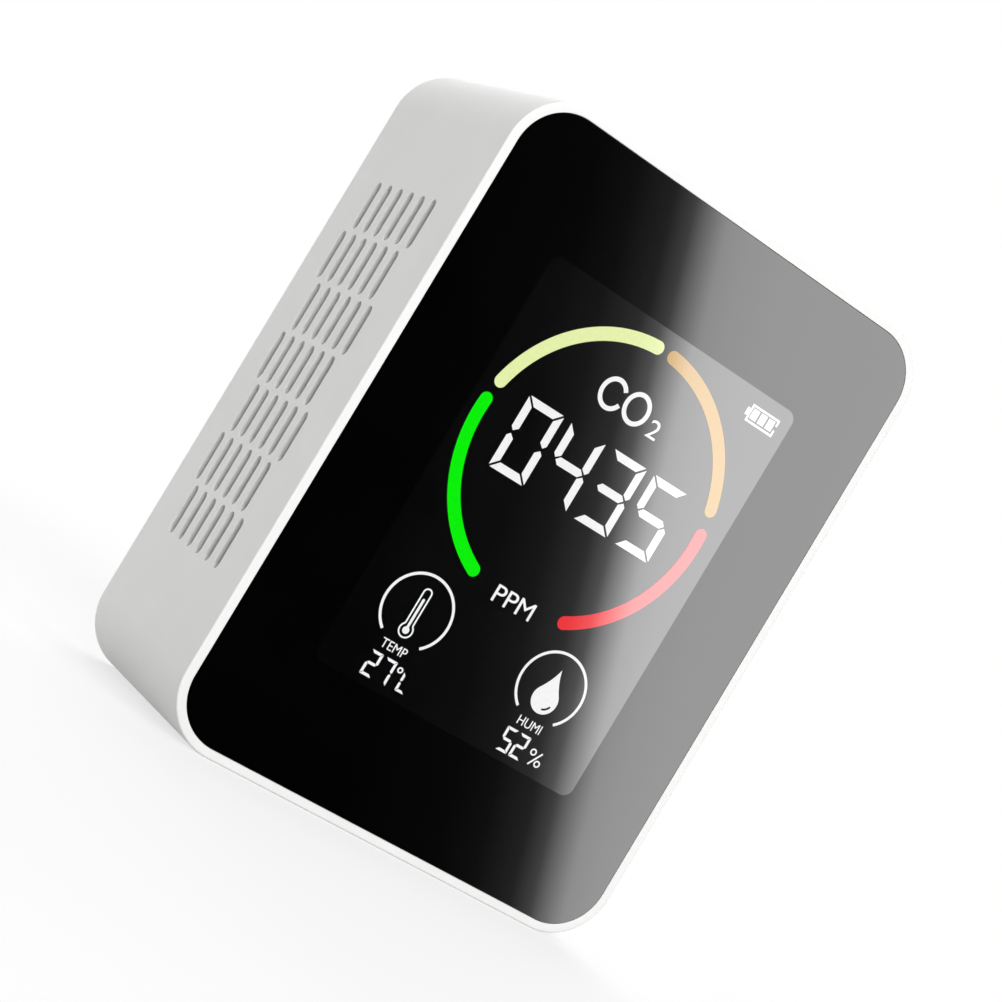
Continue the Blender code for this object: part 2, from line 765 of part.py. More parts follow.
def build_chip(name, at, seat, toward, size, height, leads, pitch, sides, material):
    """A moulded chip with sloping leads on two or four sides, standing on a board face."""
    x, z = at
    outline = moved(rounded(size, size, CHIP_CORNER, 1), x, z)
    deep = sorted((seat + toward * CHIP_STANDOFF, seat + toward * height))
    body = prism(name, outline, *deep)
    inner = size / 2 - CHIP_LEAD_W
    outer = size / 2 + CHIP_LEAD_REACH
    top = seat + toward * CHIP_LEAD_RISE
    low = seat + toward * CHIP_LEAD_RISE / 2
    foot = outer - CHIP_LEAD_W
    shape = [(inner, low), (inner, top), (size / 2 + CHIP_LEAD_W, top), (outer, seat), (foot, seat)]
    mesh = bmesh.new()
    for side in range(sides):
        turn = math.pi * 2 * side / sides
        for index in range(leads):
            offset = (index - (leads - 1) / 2) * pitch
            loops = []
            for edge in (offset - CHIP_LEAD_W / 2, offset + CHIP_LEAD_W / 2):
                loop = []
                for out, y in shape:
                    u = x + out * math.cos(turn) - edge * math.sin(turn)
                    v = z + out * math.sin(turn) + edge * math.cos(turn)
                    loop.append((u, y, v))
                loops.append(loop)
            add_skin(mesh, loops)
    join(body, new_object("leads", mesh))
    finish(body, material)


def build_gas_sensor(black, green, metal, white):
    """The gas sensor: two pin headers, its own board, a metal chamber and the filter over its window."""
    z = MID_Z + GAS_RISE
    header_low = BOARD_BACK + SEAT_GAP
    header_high = header_low + GAS_HEADER_H
    board_low = header_high + SEAT_GAP
    board_high = board_low + GAS_BOARD_T
    chamber_low = board_high + SEAT_GAP
    chamber_high = chamber_low + GAS_CHAMBER_H
    outline = header_outline()
    for name, end in (("co2_header_top", 1), ("co2_header_bottom", -1)):
        row = z + end * (GAS_BOARD_H / 2 - GAS_HEADER_W)
        finish(prism(name, moved(outline, GAS_X, row), header_low, header_high), black)
    plate = rounded(GAS_BOARD_W, GAS_BOARD_H, GAS_BOARD_CORNER, SMALL_STEPS)
    finish(prism("co2_sensor_board", moved(plate, GAS_X, z), board_low, board_high), green)

    width = GAS_BOARD_W - 2 * GAS_CHAMBER_INSET
    height = GAS_BOARD_H - 2 * GAS_CHAMBER_END
    can = moved(rounded(width, height, GAS_CHAMBER_R, SMALL_STEPS), GAS_X, z)
    chamber = prism("co2_chamber", can, chamber_low, chamber_high)
    inner_w = width - 2 * GAS_CHAMBER_WALL
    inner_h = height - 2 * GAS_CHAMBER_WALL
    hollow = rounded(inner_w, inner_h, GAS_CHAMBER_R - GAS_CHAMBER_WALL, SMALL_STEPS)
    roof = chamber_high - GAS_CHAMBER_WALL
    cut(chamber, prism("hollow", moved(hollow, GAS_X, z), chamber_low - OVERLAP, roof))
    window = moved(rounded(GAS_WINDOW_W, GAS_WINDOW_H, GAS_CHAMBER_WALL, SMALL_STEPS), GAS_X, z)
    cut(chamber, prism("window", window, roof - OVERLAP, chamber_high + OVERLAP))
    finish(chamber, metal)

    lap = 2 * GAS_FILTER_LAP
    sheet = moved(rounded(GAS_WINDOW_W + lap, GAS_WINDOW_H + lap, GAS_FILTER_LAP, SMALL_STEPS), GAS_X, z)
    filter_low = chamber_high + SEAT_GAP
    finish(prism("co2_filter", sheet, filter_low, filter_low + GAS_FILTER_T), white)


def header_outline():
    """A pin header seen from above, with its corners nipped off round each pin."""
    half = GAS_HEADER_W / 2
    nip = GAS_HEADER_NIP
    edge = []
    for pin in range(GAS_HEADER_PINS):
        middle = (pin - (GAS_HEADER_PINS - 1) / 2) * GAS_HEADER_PITCH
        start = middle - GAS_HEADER_PITCH / 2
        edge += [(start, half - nip), (start + nip, half), (start + GAS_HEADER_PITCH - nip, half)]
    edge.append((GAS_HEADER_PINS / 2 * GAS_HEADER_PITCH, half - nip))
    return edge + [(-u, -v) for u, v in edge]


def build_climate_sensor(material):
    """A small square sensor with a round port."""
    at = (CLIMATE_X, MID_Z - CLIMATE_DROP)
    low = BOARD_BACK + SEAT_GAP
    high = low + CLIMATE_H
    sensor = prism("climate_sensor", moved(rectangle(CLIMATE_SIZE, CLIMATE_SIZE), *at), low, high)
    port = moved(circle(CLIMATE_PORT_R), *at)
    cut(sensor, prism("port", port, high - CLIMATE_PORT_DEPTH, high + OVERLAP))
    finish(sensor, material)


def build_rear_cover(material):
    """The inset cover: screw holes, inlet and button openings, posts for the charger board and ribs."""

    def plate(inset):
        gap = WALL - COVER_STEP + SIDE_GAP + inset
        return moved(rounded(WIDTH - 2 * gap, HEIGHT - 2 * gap, CORNER_R - gap), 0, MID_Z)

    levels = [(COVER_INNER, plate(0)), (BACK - COVER_CHAMFER, plate(0)), (BACK, plate(COVER_CHAMFER))]
    cover = loft("rear_cover", levels)
    add_cover_ribs(cover)
    root = COVER_INNER + OVERLAP
    for side in (-1, 1):
        at = (side * CHARGER_POST_X, CHARGER_UP)
        foot = CHARGER_BACK + SEAT_GAP
        join(cover, prism("post", moved(circle(CHARGER_POST_R), *at), foot, root))
        tip = CHARGER_FRONT - SEAT_GAP + CHARGER_SCREW_L + PILOT_SPARE
        cut(cover, prism("pilot", moved(circle(PILOT_R), *at), foot - OVERLAP, tip))
    past = (COVER_INNER - OVERLAP, BACK + OVERLAP)
    for side, end in corners():
        at = (side * BOSS_X, MID_Z + end * BOSS_Z)
        cut(cover, prism("hole", moved(circle(HOLE_R), *at), *past))
        sink = moved(circle(COVER_HEAD_R + COUNTERBORE_GAP, BUTTON_SIDES), *at)
        cut(cover, prism("counterbore", sink, BACK - COUNTERBORE_DEPTH, past[1]))
    grow = 2 * USB_CUT_GAP
    inlet = rounded(USB_W + grow, USB_H + grow, USB_R + USB_CUT_GAP, SMALL_STEPS)
    cut(cover, prism("inlet", moved(inlet, USB_X, CHARGER_UP), *past))
    hole = moved(circle(BUTTON_R + RUN_GAP, BUTTON_SIDES), BUTTON_X, CHARGER_UP)
    cut(cover, prism("button_hole", hole, *past))
    finish(cover, material)


def add_cover_ribs(cover):
    """Ribs inside the cover: four that find the housing walls and three round the battery."""
    root = COVER_INNER + OVERLAP
    reach_x = CAVITY_W / 2 - SIDE_GAP
    reach_z = CAVITY_H / 2 - SIDE_GAP
    deep = (COVER_INNER - LOCATOR_H, root)
    span_z = (MID_Z - LOCATOR_L_Z / 2, MID_Z + LOCATOR_L_Z / 2)
    span_x = (-LOCATOR_L_X / 2, LOCATOR_L_X / 2)
    for side in (-1, 1):
        across = sorted((side * reach_x, side * (reach_x - LOCATOR_T)))
        join(cover, block("locator", across, deep, span_z))
        tall = sorted((MID_Z + side * reach_z, MID_Z + side * (reach_z - LOCATOR_T)))
        join(cover, block("locator", span_x, deep, tall))
    deep = (COVER_INNER - BATTERY_RIB_H, root)
    inner = BATTERY_W / 2 + BATTERY_RIB_GAP
    span_z = (BATTERY_Z - BATTERY_RIB_L_Z / 2, BATTERY_Z + BATTERY_RIB_L_Z / 2)
    for side in (-1, 1):
        across = sorted((side * inner, side * (inner + BATTERY_RIB_T)))
        join(cover, block("battery_rib", across, deep, span_z))
    top = BATTERY_Z + BATTERY_H / 2 + BATTERY_RIB_GAP
    span_x = (-BATTERY_RIB_L_X / 2, BATTERY_RIB_L_X / 2)
    join(cover, block("battery_rib", span_x, deep, (top, top + BATTERY_RIB_T)))


def build_charger(green, metal, black):
    """The charger board with the power inlet and the switch on its back and its parts on its front."""
    outline = rounded(CHARGER_W, CHARGER_H, CHARGER_CORNER, SMALL_STEPS)
    board = prism("charger_board", moved(outline, 0, CHARGER_UP), CHARGER_FRONT, CHARGER_BACK)
    for side in (-1, 1):
        hole = moved(circle(HOLE_R), side * CHARGER_POST_X, CHARGER_UP)
        cut(board, prism("hole", hole, CHARGER_FRONT - OVERLAP, CHARGER_BACK + OVERLAP))
    finish(board, green)

    inductor = rounded(INDUCTOR_SIZE, INDUCTOR_SIZE, INDUCTOR_CORNER, SMALL_STEPS)
    seat = CHARGER_FRONT - SEAT_GAP
    at = (INDUCTOR_X, CHARGER_UP - INDUCTOR_DROP)
    finish(prism("charger_inductor", moved(inductor, *at), seat - INDUCTOR_H, seat), black)

    outside = moved(rounded(USB_W, USB_H, USB_R, SMALL_STEPS), USB_X, CHARGER_UP)
    shell = prism("usb_socket", outside, USB_BASE, USB_MOUTH)
    thick = 2 * USB_WALL
    inside = rounded(USB_W - thick, USB_H - thick, USB_R - USB_WALL, SMALL_STEPS)
    floor = USB_BASE + USB_FLOOR
    cut(shell, prism("inside", moved(inside, USB_X, CHARGER_UP), floor, USB_MOUTH + OVERLAP))
    finish(shell, metal)
    tongue = moved(rounded(USB_TONGUE_W, USB_TONGUE_T, USB_TONGUE_EDGE, 1), USB_X, CHARGER_UP)
    finish(prism("usb_tongue", tongue, floor + SEAT_GAP, USB_MOUTH - USB_TONGUE_SET), black)


def build_button(white, black, metal):
    """The power button in the rear cover, the switch plunger that it presses and the switch body."""
    body = rounded(SWITCH_SIZE, SWITCH_SIZE, SWITCH_CORNER, 1)
    switch = prism("switch_body", moved(body, BUTTON_X, CHARGER_UP), CHARGER_BACK + SEAT_GAP, SWITCH_TOP)
    bore = moved(circle(PLUNGER_R + RUN_GAP), BUTTON_X, CHARGER_UP)
    cut(switch, prism("bore", bore, SWITCH_TOP - SWITCH_BORE, SWITCH_TOP + OVERLAP))
    finish(switch, metal)

    low = SWITCH_TOP - SWITCH_BORE + BUTTON_TRAVEL + SEAT_GAP
    high = FLANGE_FRONT - SEAT_GAP
    plunger = [(0, low), (PLUNGER_R, low), (PLUNGER_R, high), (0, high)]
    finish(turned("switch_plunger", plunger, BUTTON_X, CHARGER_UP), black)

    face = BACK - BUTTON_SET
    cap = [
        (0, FLANGE_FRONT),
        (BUTTON_R + BUTTON_FLANGE, FLANGE_FRONT),
        (BUTTON_R + BUTTON_FLANGE, FLANGE_BACK),
        (BUTTON_R, FLANGE_BACK),
        (BUTTON_R, face - BUTTON_EDGE),
        (BUTTON_R - BUTTON_EDGE, face),
    ]
    for step in range(DISH_STEPS + 1):
        share = 1 - step / DISH_STEPS
        cap.append(((BUTTON_R - BUTTON_LAND) * share, face - BUTTON_DISH * (1 - share * share)))
    finish(turned("power_button", cap, BUTTON_X, CHARGER_UP, BUTTON_SIDES), white)


def build_wire_joint(prefix, suffix, x, mouth, end, seat, toward, wires, material):
    """A side-entry socket lying on a board and the plug in it; the mouth faces end along Z."""
    width = wires * PLUG_PITCH + 2 * SOCKET_END
    deep = sorted((seat, seat + toward * SOCKET_T))
    tall = sorted((mouth, mouth - end * SOCKET_L))
    socket = block(f"{prefix}_socket{suffix}", (x - width / 2, x + width / 2), deep, tall)
    room = width / 2 - SOCKET_WALL
    room_deep = (deep[0] + SOCKET_WALL, deep[1] - SOCKET_WALL)
    floor = mouth - end * (SOCKET_L - SOCKET_WALL)
    room_tall = sorted((floor, mouth + end * OVERLAP))
    cut(socket, block("room", (x - room, x + room), room_deep, room_tall))
    finish(socket, material)
    half = room - SIDE_GAP
    plug_deep = (room_deep[0] + SIDE_GAP, room_deep[1] - SIDE_GAP)
    plug_tall = sorted((floor + end * SEAT_GAP, mouth + end * PLUG_PROUD))
    plug = block(f"{prefix}_plug{suffix}", (x - half, x + half), plug_deep, plug_tall)
    finish(plug, material)


def ribbon_profile():
    """Parallel wires fused side by side."""
    meet = math.acos(LINK_PITCH / 2 / LINK_WIRE_R)
    top = []
    for wire in range(LINK_WIRES):
        u = (wire - (LINK_WIRES - 1) / 2) * LINK_PITCH
        start = math.pi if wire == 0 else math.pi - meet
        stop = 0 if wire == LINK_WIRES - 1 else meet
        first = 0 if wire == 0 else 1
        for step in range(first, WIRE_STEPS + 1):
            angle = start + (stop - start) * step / WIRE_STEPS
            top.append((u + LINK_WIRE_R * math.cos(angle), LINK_WIRE_R * math.sin(angle)))
    return top + [(u, -v) for u, v in reversed(top[1:-1])]


def build_link(white, grey):
    """The lead between the boards: a plug and socket on each, and a flat cable hanging between them."""
    main_seat = BOARD_BACK + SEAT_GAP
    main_mouth = MID_Z - LINK_MAIN_DROP - SOCKET_L / 2
    charger_seat = CHARGER_FRONT - SEAT_GAP
    charger_mouth = CHARGER_UP - LINK_CHARGER_DROP - SOCKET_L / 2
    build_wire_joint("link", "_main", LINK_X, main_mouth, -1, main_seat, 1, LINK_WIRES, white)
    build_wire_joint("link", "_charger", LINK_X, charger_mouth, -1, charger_seat, -1, LINK_WIRES, white)
    drop = PLUG_PROUD + SEAT_GAP
    start = Vector((main_seat + SOCKET_T / 2, main_mouth - drop))
    end = Vector((charger_seat - SOCKET_T / 2, charger_mouth - drop))
    sag = Vector((0, LINK_SAG))
    path = curve_between(start, start - sag, end - sag, end)
    finish(sweep("link_cable", ribbon_profile(), path, LINK_X), grey)


def build_battery(foil, amber, foam, white, black, red):
    """The pouch cell stuck to the cover, its protection board, and its two leads down to their plug."""

    def pouch(inset):
        outline = rounded(BATTERY_W - 2 * inset, BATTERY_H - 2 * inset, BATTERY_R - inset, SMALL_STEPS)
        return moved(outline, 0, BATTERY_Z)

    levels = [
        (BATTERY_FRONT, pouch(BATTERY_SHOULDER)),
        (BATTERY_FRONT + BATTERY_SHOULDER, pouch(BATTERY_TUCK)),
        (BATTERY_FRONT + BATTERY_SWELL, pouch(0)),
        (BATTERY_BACK - BATTERY_SWELL, pouch(0)),
        (BATTERY_BACK - BATTERY_SHOULDER, pouch(BATTERY_TUCK)),
        (BATTERY_BACK, pouch(BATTERY_SHOULDER)),
    ]
    finish(loft("battery_cell", levels), foil)

    pad_w = BATTERY_W - 2 * BATTERY_TAPE_INSET
    pad_h = BATTERY_H - 2 * BATTERY_TAPE_INSET
    pad = moved(rectangle(pad_w, pad_h), 0, BATTERY_Z)
    pad_front = BATTERY_BACK + SEAT_GAP
    finish(prism("battery_tape", pad, pad_front, pad_front + BATTERY_TAPE_T), foam)

    guard_top = BATTERY_BOTTOM - SEAT_GAP
    guard_bottom = guard_top - PROTECTION_H
    across = (-PROTECTION_W / 2, PROTECTION_W / 2)
    deep = (BATTERY_MID - PROTECTION_T / 2, BATTERY_MID + PROTECTION_T / 2)
    finish(block("battery_protection_board", across, deep, (guard_bottom, guard_top)), amber)

    seat = CHARGER_FRONT - SEAT_GAP
    mouth = CHARGER_UP + BATTERY_PLUG_RISE + SOCKET_L / 2
    build_wire_joint("battery", "", BATTERY_PLUG_X, mouth, 1, seat, -1, len(BATTERY_LEADS), white)
    slack = Vector((0, 0, LEAD_SLACK))
    for name, side, material in zip(BATTERY_LEADS, (-1, 1), (black, red)):
        start = Vector((side * LEAD_SPREAD / 2, BATTERY_MID, guard_bottom - SEAT_GAP))
        end_x = BATTERY_PLUG_X + side * PLUG_PITCH / 2
        end = Vector((end_x, seat - SOCKET_T / 2, mouth + PLUG_PROUD + SEAT_GAP))
        build_lead(name, curve_between(start, start - slack, end + slack, end), material)


def build_lead(name, path, material):
    """A round insulated wire along a path."""
    curve = bpy.data.curves.new(name, "CURVE")
    curve.dimensions = "3D"
    curve.bevel_depth = LEAD_R
    curve.bevel_resolution = LEAD_RESOLUTION
    curve.use_fill_caps = True
    spline = curve.splines.new("POLY")
    spline.points.add(len(path) - 1)
    for point, place in zip(spline.points, path):
        point.co = (*place, 1)
    curve.materials.append(material)
    bpy.context.scene.collection.objects.link(bpy.data.objects.new(name, curve))


def build_chips(black):
    """The main board's processor and the charger board's controller."""
    build_chip(
        "microcontroller",
        at=(MICRO_X, MID_Z + MICRO_RISE),
        seat=BOARD_BACK + SEAT_GAP,
        toward=1,
        size=MICRO_SIZE,
        height=MICRO_H,
        leads=MICRO_LEADS,
        pitch=MICRO_PITCH,
        sides=MICRO_SIDES,
        material=black,
    )
    build_chip(
        "charger_chip",
        at=(CHARGER_CHIP_X, CHARGER_UP + CHARGER_CHIP_RISE),
        seat=CHARGER_FRONT - SEAT_GAP,
        toward=-1,
        size=CHARGER_CHIP_SIZE,
        height=CHARGER_CHIP_H,
        leads=CHARGER_CHIP_LEADS,
        pitch=CHARGER_CHIP_PITCH,
        sides=CHARGER_CHIP_SIDES,
        material=black,
    )


def build_monitor():
    """Every piece of the monitor, from the window to the battery."""
    for obj in list(bpy.data.objects):
        bpy.data.objects.remove(obj)
    white = surface("white_shell", (0.87, 0.87, 0.86), 0.45)
    bright = surface("white_part", (0.88, 0.88, 0.87), 0.5)
    window = surface("window_black", (0.006, 0.006, 0.007), 0.06)
    tape = surface("black_tape", (0.02, 0.02, 0.02), 0.9)
    glass = surface("display_glass", (0.015, 0.015, 0.017), 0.1)
    acrylic = surface("clear_acrylic", (0.85, 0.88, 0.90), 0.15)
    flex = surface("amber_flex", (0.55, 0.27, 0.05), 0.4)
    green = surface("green_board", (0.02, 0.18, 0.07), 0.4)
    black = surface("black_part", (0.02, 0.02, 0.022), 0.5)
    steel = surface("steel", (0.62, 0.62, 0.63), 0.3, 1.0)
    gold = surface("gold_plate", (0.72, 0.55, 0.25), 0.3, 1.0)
    foil = surface("battery_foil", (0.70, 0.71, 0.72), 0.35, 0.8)
    grey = surface("grey_cable", (0.40, 0.40, 0.41), 0.6)
    red_lead = surface("red_lead", (0.60, 0.03, 0.02), 0.5)
    black_lead = surface("black_lead", (0.02, 0.02, 0.02), 0.5)

    build_housing(white)
    build_rear_cover(white)
    build_front(window, tape)
    build_display(glass, bright, acrylic, flex)
    build_ribbon(flex, black)
    build_main_board(green)
    build_chips(black)
    build_gas_sensor(black, green, gold, bright)
    build_climate_sensor(black)
    build_charger(green, steel, black)
    build_button(bright, black, steel)
    build_link(bright, grey)
    build_battery(foil, flex, tape, bright, black_lead, red_lead)
    build_screws(steel)


build_monitor()
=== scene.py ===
"""Looks of the air quality monitor: white shell, black window with a lit readout, back and studio.

Metres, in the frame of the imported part: the window faces -Y and the part stands on z = 0.
Places on the display are in millimetres from the middle of the window's width and from the floor.
"""

import json
import math

import bmesh
import bpy
from mathutils import Matrix, Vector


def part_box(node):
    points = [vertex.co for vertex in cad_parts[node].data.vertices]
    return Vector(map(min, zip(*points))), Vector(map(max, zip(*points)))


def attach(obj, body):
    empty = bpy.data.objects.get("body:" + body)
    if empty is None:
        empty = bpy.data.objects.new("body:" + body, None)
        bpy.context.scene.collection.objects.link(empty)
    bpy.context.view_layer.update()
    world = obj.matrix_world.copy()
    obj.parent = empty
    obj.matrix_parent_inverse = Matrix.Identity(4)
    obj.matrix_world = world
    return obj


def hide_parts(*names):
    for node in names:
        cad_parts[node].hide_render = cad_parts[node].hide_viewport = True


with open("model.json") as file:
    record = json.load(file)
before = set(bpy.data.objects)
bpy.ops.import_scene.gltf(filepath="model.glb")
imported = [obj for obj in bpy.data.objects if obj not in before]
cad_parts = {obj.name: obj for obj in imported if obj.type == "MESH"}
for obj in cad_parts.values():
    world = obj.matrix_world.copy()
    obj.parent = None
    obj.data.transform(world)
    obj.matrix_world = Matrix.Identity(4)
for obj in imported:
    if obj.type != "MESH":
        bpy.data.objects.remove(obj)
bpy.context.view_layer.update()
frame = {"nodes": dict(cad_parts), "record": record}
MM = 0.001

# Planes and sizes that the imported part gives
SHELL_LOW, SHELL_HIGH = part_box("housing")
PANEL_LOW, PANEL_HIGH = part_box("front_panel")
COVER_LOW, COVER_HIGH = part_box("rear_cover")
CELL_LOW, CELL_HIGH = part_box("lcd_cell")
SHELL_W = SHELL_HIGH.x - SHELL_LOW.x
SHELL_H = SHELL_HIGH.z - SHELL_LOW.z
PANEL_W = PANEL_HIGH.x - PANEL_LOW.x
PANEL_H = PANEL_HIGH.z - PANEL_LOW.z
COVER_W = COVER_HIGH.x - COVER_LOW.x
COVER_H = COVER_HIGH.z - COVER_LOW.z
CELL_W = CELL_HIGH.x - CELL_LOW.x
CELL_H = CELL_HIGH.z - CELL_LOW.z
FRONT = SHELL_LOW.y
BACK = SHELL_HIGH.y
MID_Z = (SHELL_LOW.z + SHELL_HIGH.z) / 2
RIM = (SHELL_W - PANEL_W) / 2

# Moulded shell
CORNER_R = 8.0 * MM
WALL = 2.0 * MM
FRONT_EDGE_R = 0.3 * MM
BACK_EDGE_R = 0.6 * MM
RECESS_EDGE_R = 0.06 * MM
PANEL_GAP = 0.03 * MM
COVER_GAP = 0.2 * MM
CELL_GAP = 0.2 * MM
RECESS_FLOOR = 0.7 * MM
PANEL_EDGE_R = 0.05 * MM

# How deep a cut runs, in thicknesses of the wall that it goes through
CUT_REACH = 1.5

# Rear cover and what sits in it
COVER_T = 2.0 * MM
COVER_EDGE_R = 0.3 * MM
HOLE_EDGE_R = 0.15 * MM
COVER_SCREWS = (1, 2, 3, 4)
SHANK_R = 0.95 * MM
SHANK_TIP_R = SHANK_R / 3
SHANK_HOLE_R = 1.2 * MM
COUNTERBORE_GAP = 0.3 * MM
COUNTERBORE_DEPTH = 1.3 * MM
HEAD_H = 1.0 * MM
HEAD_EDGE_H = 0.45 * MM
CROSS_L = 2.4 * MM
CROSS_W = 0.5 * MM
CROSS_DEPTH = 0.65 * MM
CROSS_TAPER = 0.6
BUTTON_R = 4.0 * MM
BUTTON_GAP = 0.2 * MM
BUTTON_FLANGE_T = 0.8 * MM
BUTTON_EDGE_R = 0.25 * MM
BUTTON_DISH = 0.3 * MM
DISH_SHARE = 0.86
INLET_R = 1.5 * MM
INLET_GAP = 0.3 * MM
INLET_WALL = 0.3 * MM
INLET_FLOOR = 0.6 * MM
TONGUE_EDGE = 0.15 * MM
TONGUE_TAPER = 2 * TONGUE_EDGE
CONTACTS = 12
CONTACT_PITCH = 0.5 * MM
CONTACT_W = 0.25 * MM
CONTACT_L = 3.2 * MM
CONTACT_T = 0.04 * MM
CONTACT_SUNK = 0.01 * MM
CONTACT_EDGE_R = 0.01 * MM
CONTACT_SETBACK = 3 * TONGUE_EDGE

# Side vents
VENT_ROWS = 7
VENT_COLUMNS = 6
VENT_PITCH_Y = 3.75 * MM
VENT_PITCH_Z = 7.44 * MM
VENT_W = 1.8 * MM
VENT_L = 6.8 * MM
VENT_STAGGER = VENT_PITCH_Y / 4
VENT_SETBACK = 19.8 * MM
VENT_RISE = 0.6 * MM
VENT_EDGE_R = 0.08 * MM

# Facets of round forms and how they are shaded
CORNER_STEPS = 24
EDGE_STEPS = 5
SLOT_STEPS = 12
ARC_STEP_DEG = 3.0
TURN_SIDES = 64
DISH_STEPS = 8
SHARP_DEG = 32
FLAT_WEIGHT = 100

# Display window and how far its lit marks stand out of it
WINDOW_W = 40.2 * MM
WINDOW_H = 56.0 * MM
WINDOW_R = 1.4 * MM
MARK_PROUD = 0.02 * MM
MARK_ROOT = 0.03 * MM


def rounded(width, height, radius, steps=CORNER_STEPS):
    """A rounded rectangle's outline about its centre."""
    points = []
    for quarter, (side, end) in enumerate(((1, 1), (-1, 1), (-1, -1), (1, -1))):
        for step in range(steps + 1):
            angle = math.pi / 2 * (quarter + step / steps)
            u = side * (width / 2 - radius) + radius * math.cos(angle)
            v = end * (height / 2 - radius) + radius * math.sin(angle)
            points.append((u, v))
    return points


def slot_outline(width, length):
    """An upright slot with round ends."""
    points = []
    for end in (1, -1):
        for step in range(SLOT_STEPS + 1):
            angle = math.pi * (step / SLOT_STEPS + (end < 0))
            u = width / 2 * math.cos(angle)
            v = end * (length - width) / 2 + width / 2 * math.sin(angle)
            points.append((u, v))
    return points


def moved(outline, du, dv):
    """An outline shifted in its own plane."""
    return [(u + du, v + dv) for u, v in outline]


def circle(radius):
    """A round outline about its centre."""
    turns = [2 * math.pi * side / TURN_SIDES for side in range(TURN_SIDES)]
    return [(radius * math.cos(turn), radius * math.sin(turn)) for turn in turns]


def quarter_turn():
    """Sine and cosine pairs of a quarter circle, from its start to its end."""
    turns = [math.pi / 2 * step / EDGE_STEPS for step in range(EDGE_STEPS + 1)]
    return [(math.sin(turn), math.cos(turn)) for turn in turns]


def add_skin(mesh, loops, closed=False):
    """Faces between neighbouring loops of points, with end caps or closed into a ring."""
    rows = [[mesh.verts.new(point) for point in loop] for loop in loops]
    pairs = list(zip(rows, rows[1:]))
    caps = []
    if closed:
        pairs.append((rows[-1], rows[0]))
    else:
        caps = [mesh.faces.new(rows[0]), mesh.faces.new(rows[-1])]
    for low, high in pairs:
        for here in range(len(low)):
            there = (here + 1) % len(low)
            mesh.faces.new((low[here], low[there], high[there], high[here]))
    return caps


def new_piece(name, mesh):
    """A linked object from a finished bmesh, with its faces pointing out."""
    bmesh.ops.recalc_face_normals(mesh, faces=mesh.faces[:])
    data = bpy.data.meshes.new(name)
    mesh.to_mesh(data)
    mesh.free()
    obj = bpy.data.objects.new(name, data)
    bpy.context.scene.collection.objects.link(obj)
    return obj


def along_y(outline, y):
    """An outline in the XZ plane set at a depth."""
    return [(u, y, v) for u, v in outline]


def along_x(outline, x):
    """An outline in the YZ plane set at a width."""
    return [(x, u, v) for u, v in outline]


def cut(target, tool):
    """Take a tool out of a piece and remove the tool."""
    modifier = target.modifiers.new("cut", "BOOLEAN")
    modifier.operation = "DIFFERENCE"
    modifier.solver = "EXACT"
    modifier.object = tool
    bpy.context.view_layer.update()
    depsgraph = bpy.context.evaluated_depsgraph_get()
    before = target.data
    target.data = bpy.data.meshes.new_from_object(target.evaluated_get(depsgraph))
    target.modifiers.clear()
    target.data.name = target.name
    bpy.data.meshes.remove(before)
    bpy.data.objects.remove(tool)


def smooth(obj):
    """Smooth shading between sharp edges, with flat faces kept flat."""
    obj.data.shade_smooth()
    obj.data.set_sharp_from_angle(angle=math.radians(SHARP_DEG))
    modifier = obj.modifiers.new("flat_faces", "WEIGHTED_NORMAL")
    modifier.keep_sharp = True
    modifier.weight = FLAT_WEIGHT


def dress(obj, body, slot, *materials):
    """Give a piece its materials and its body; the slot argument is not used."""
    for material in materials:
        obj.data.materials.append(material)
    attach(obj, body)


# Materials

# The range that noise mostly keeps to, and how much detail it has
NOISE_RANGE = (0.3, 0.7)
FINE_DETAIL = 3.0
SOFT_DETAIL = 2.0

# Moulded and coated surfaces: length of the tone drift in grains, and shares of the roughness
DRIFT_GRAINS = 60
GRAIN_GLOSS = (0.85, 1.15)

# Drawn metal: length of the lines in grains, and shares of the colour and the roughness
LINE_GRAINS = 30
LINE_TONES = (0.9, 1.08)
LINE_GLOSS = (0.7, 1.3)

# Printed boards
BOARD_IOR = 1.5
BOARD_GLOSS = (0.3, 0.45)
TRACK_PITCH = 2.2 * MM
TRACK_LINE = 0.03
TRACK_TONE = 1.15
WEAVE = 0.15 * MM
WEAVE_RELIEF = 0.01 * MM

# The polished window, and the display in it, whose face leans by a tenth of a degree
BORDER_IOR = 1.49
WINDOW_IOR = 1.675
DISPLAY_LEAN = 0.0018
POLISH = (0.015, 0.03)
HAZE = 6 * MM
CLOUD = 9 * MM
CLOUD_TONES = (0.8, 1.2)
MOTTLE = 0.45 * MM
MOTTLE_TONES = (0.965, 1.02)

# White mouldings
SHELL_IOR = 1.46
SHELL_WHITE = (0.87, 0.87, 0.86)


def shade(colour, share):
    """A colour made lighter or darker by a share."""
    return tuple(min(1.0, channel * share) for channel in colour)


def fill_ramp(node, stops):
    """Set a colour ramp's stops from pairs of position and colour."""
    elements = node.color_ramp.elements
    while len(elements) < len(stops):
        elements.new(1.0)
    for element, (position, colour) in zip(elements, stops):
        element.position = position
        element.color = (*colour, 1)


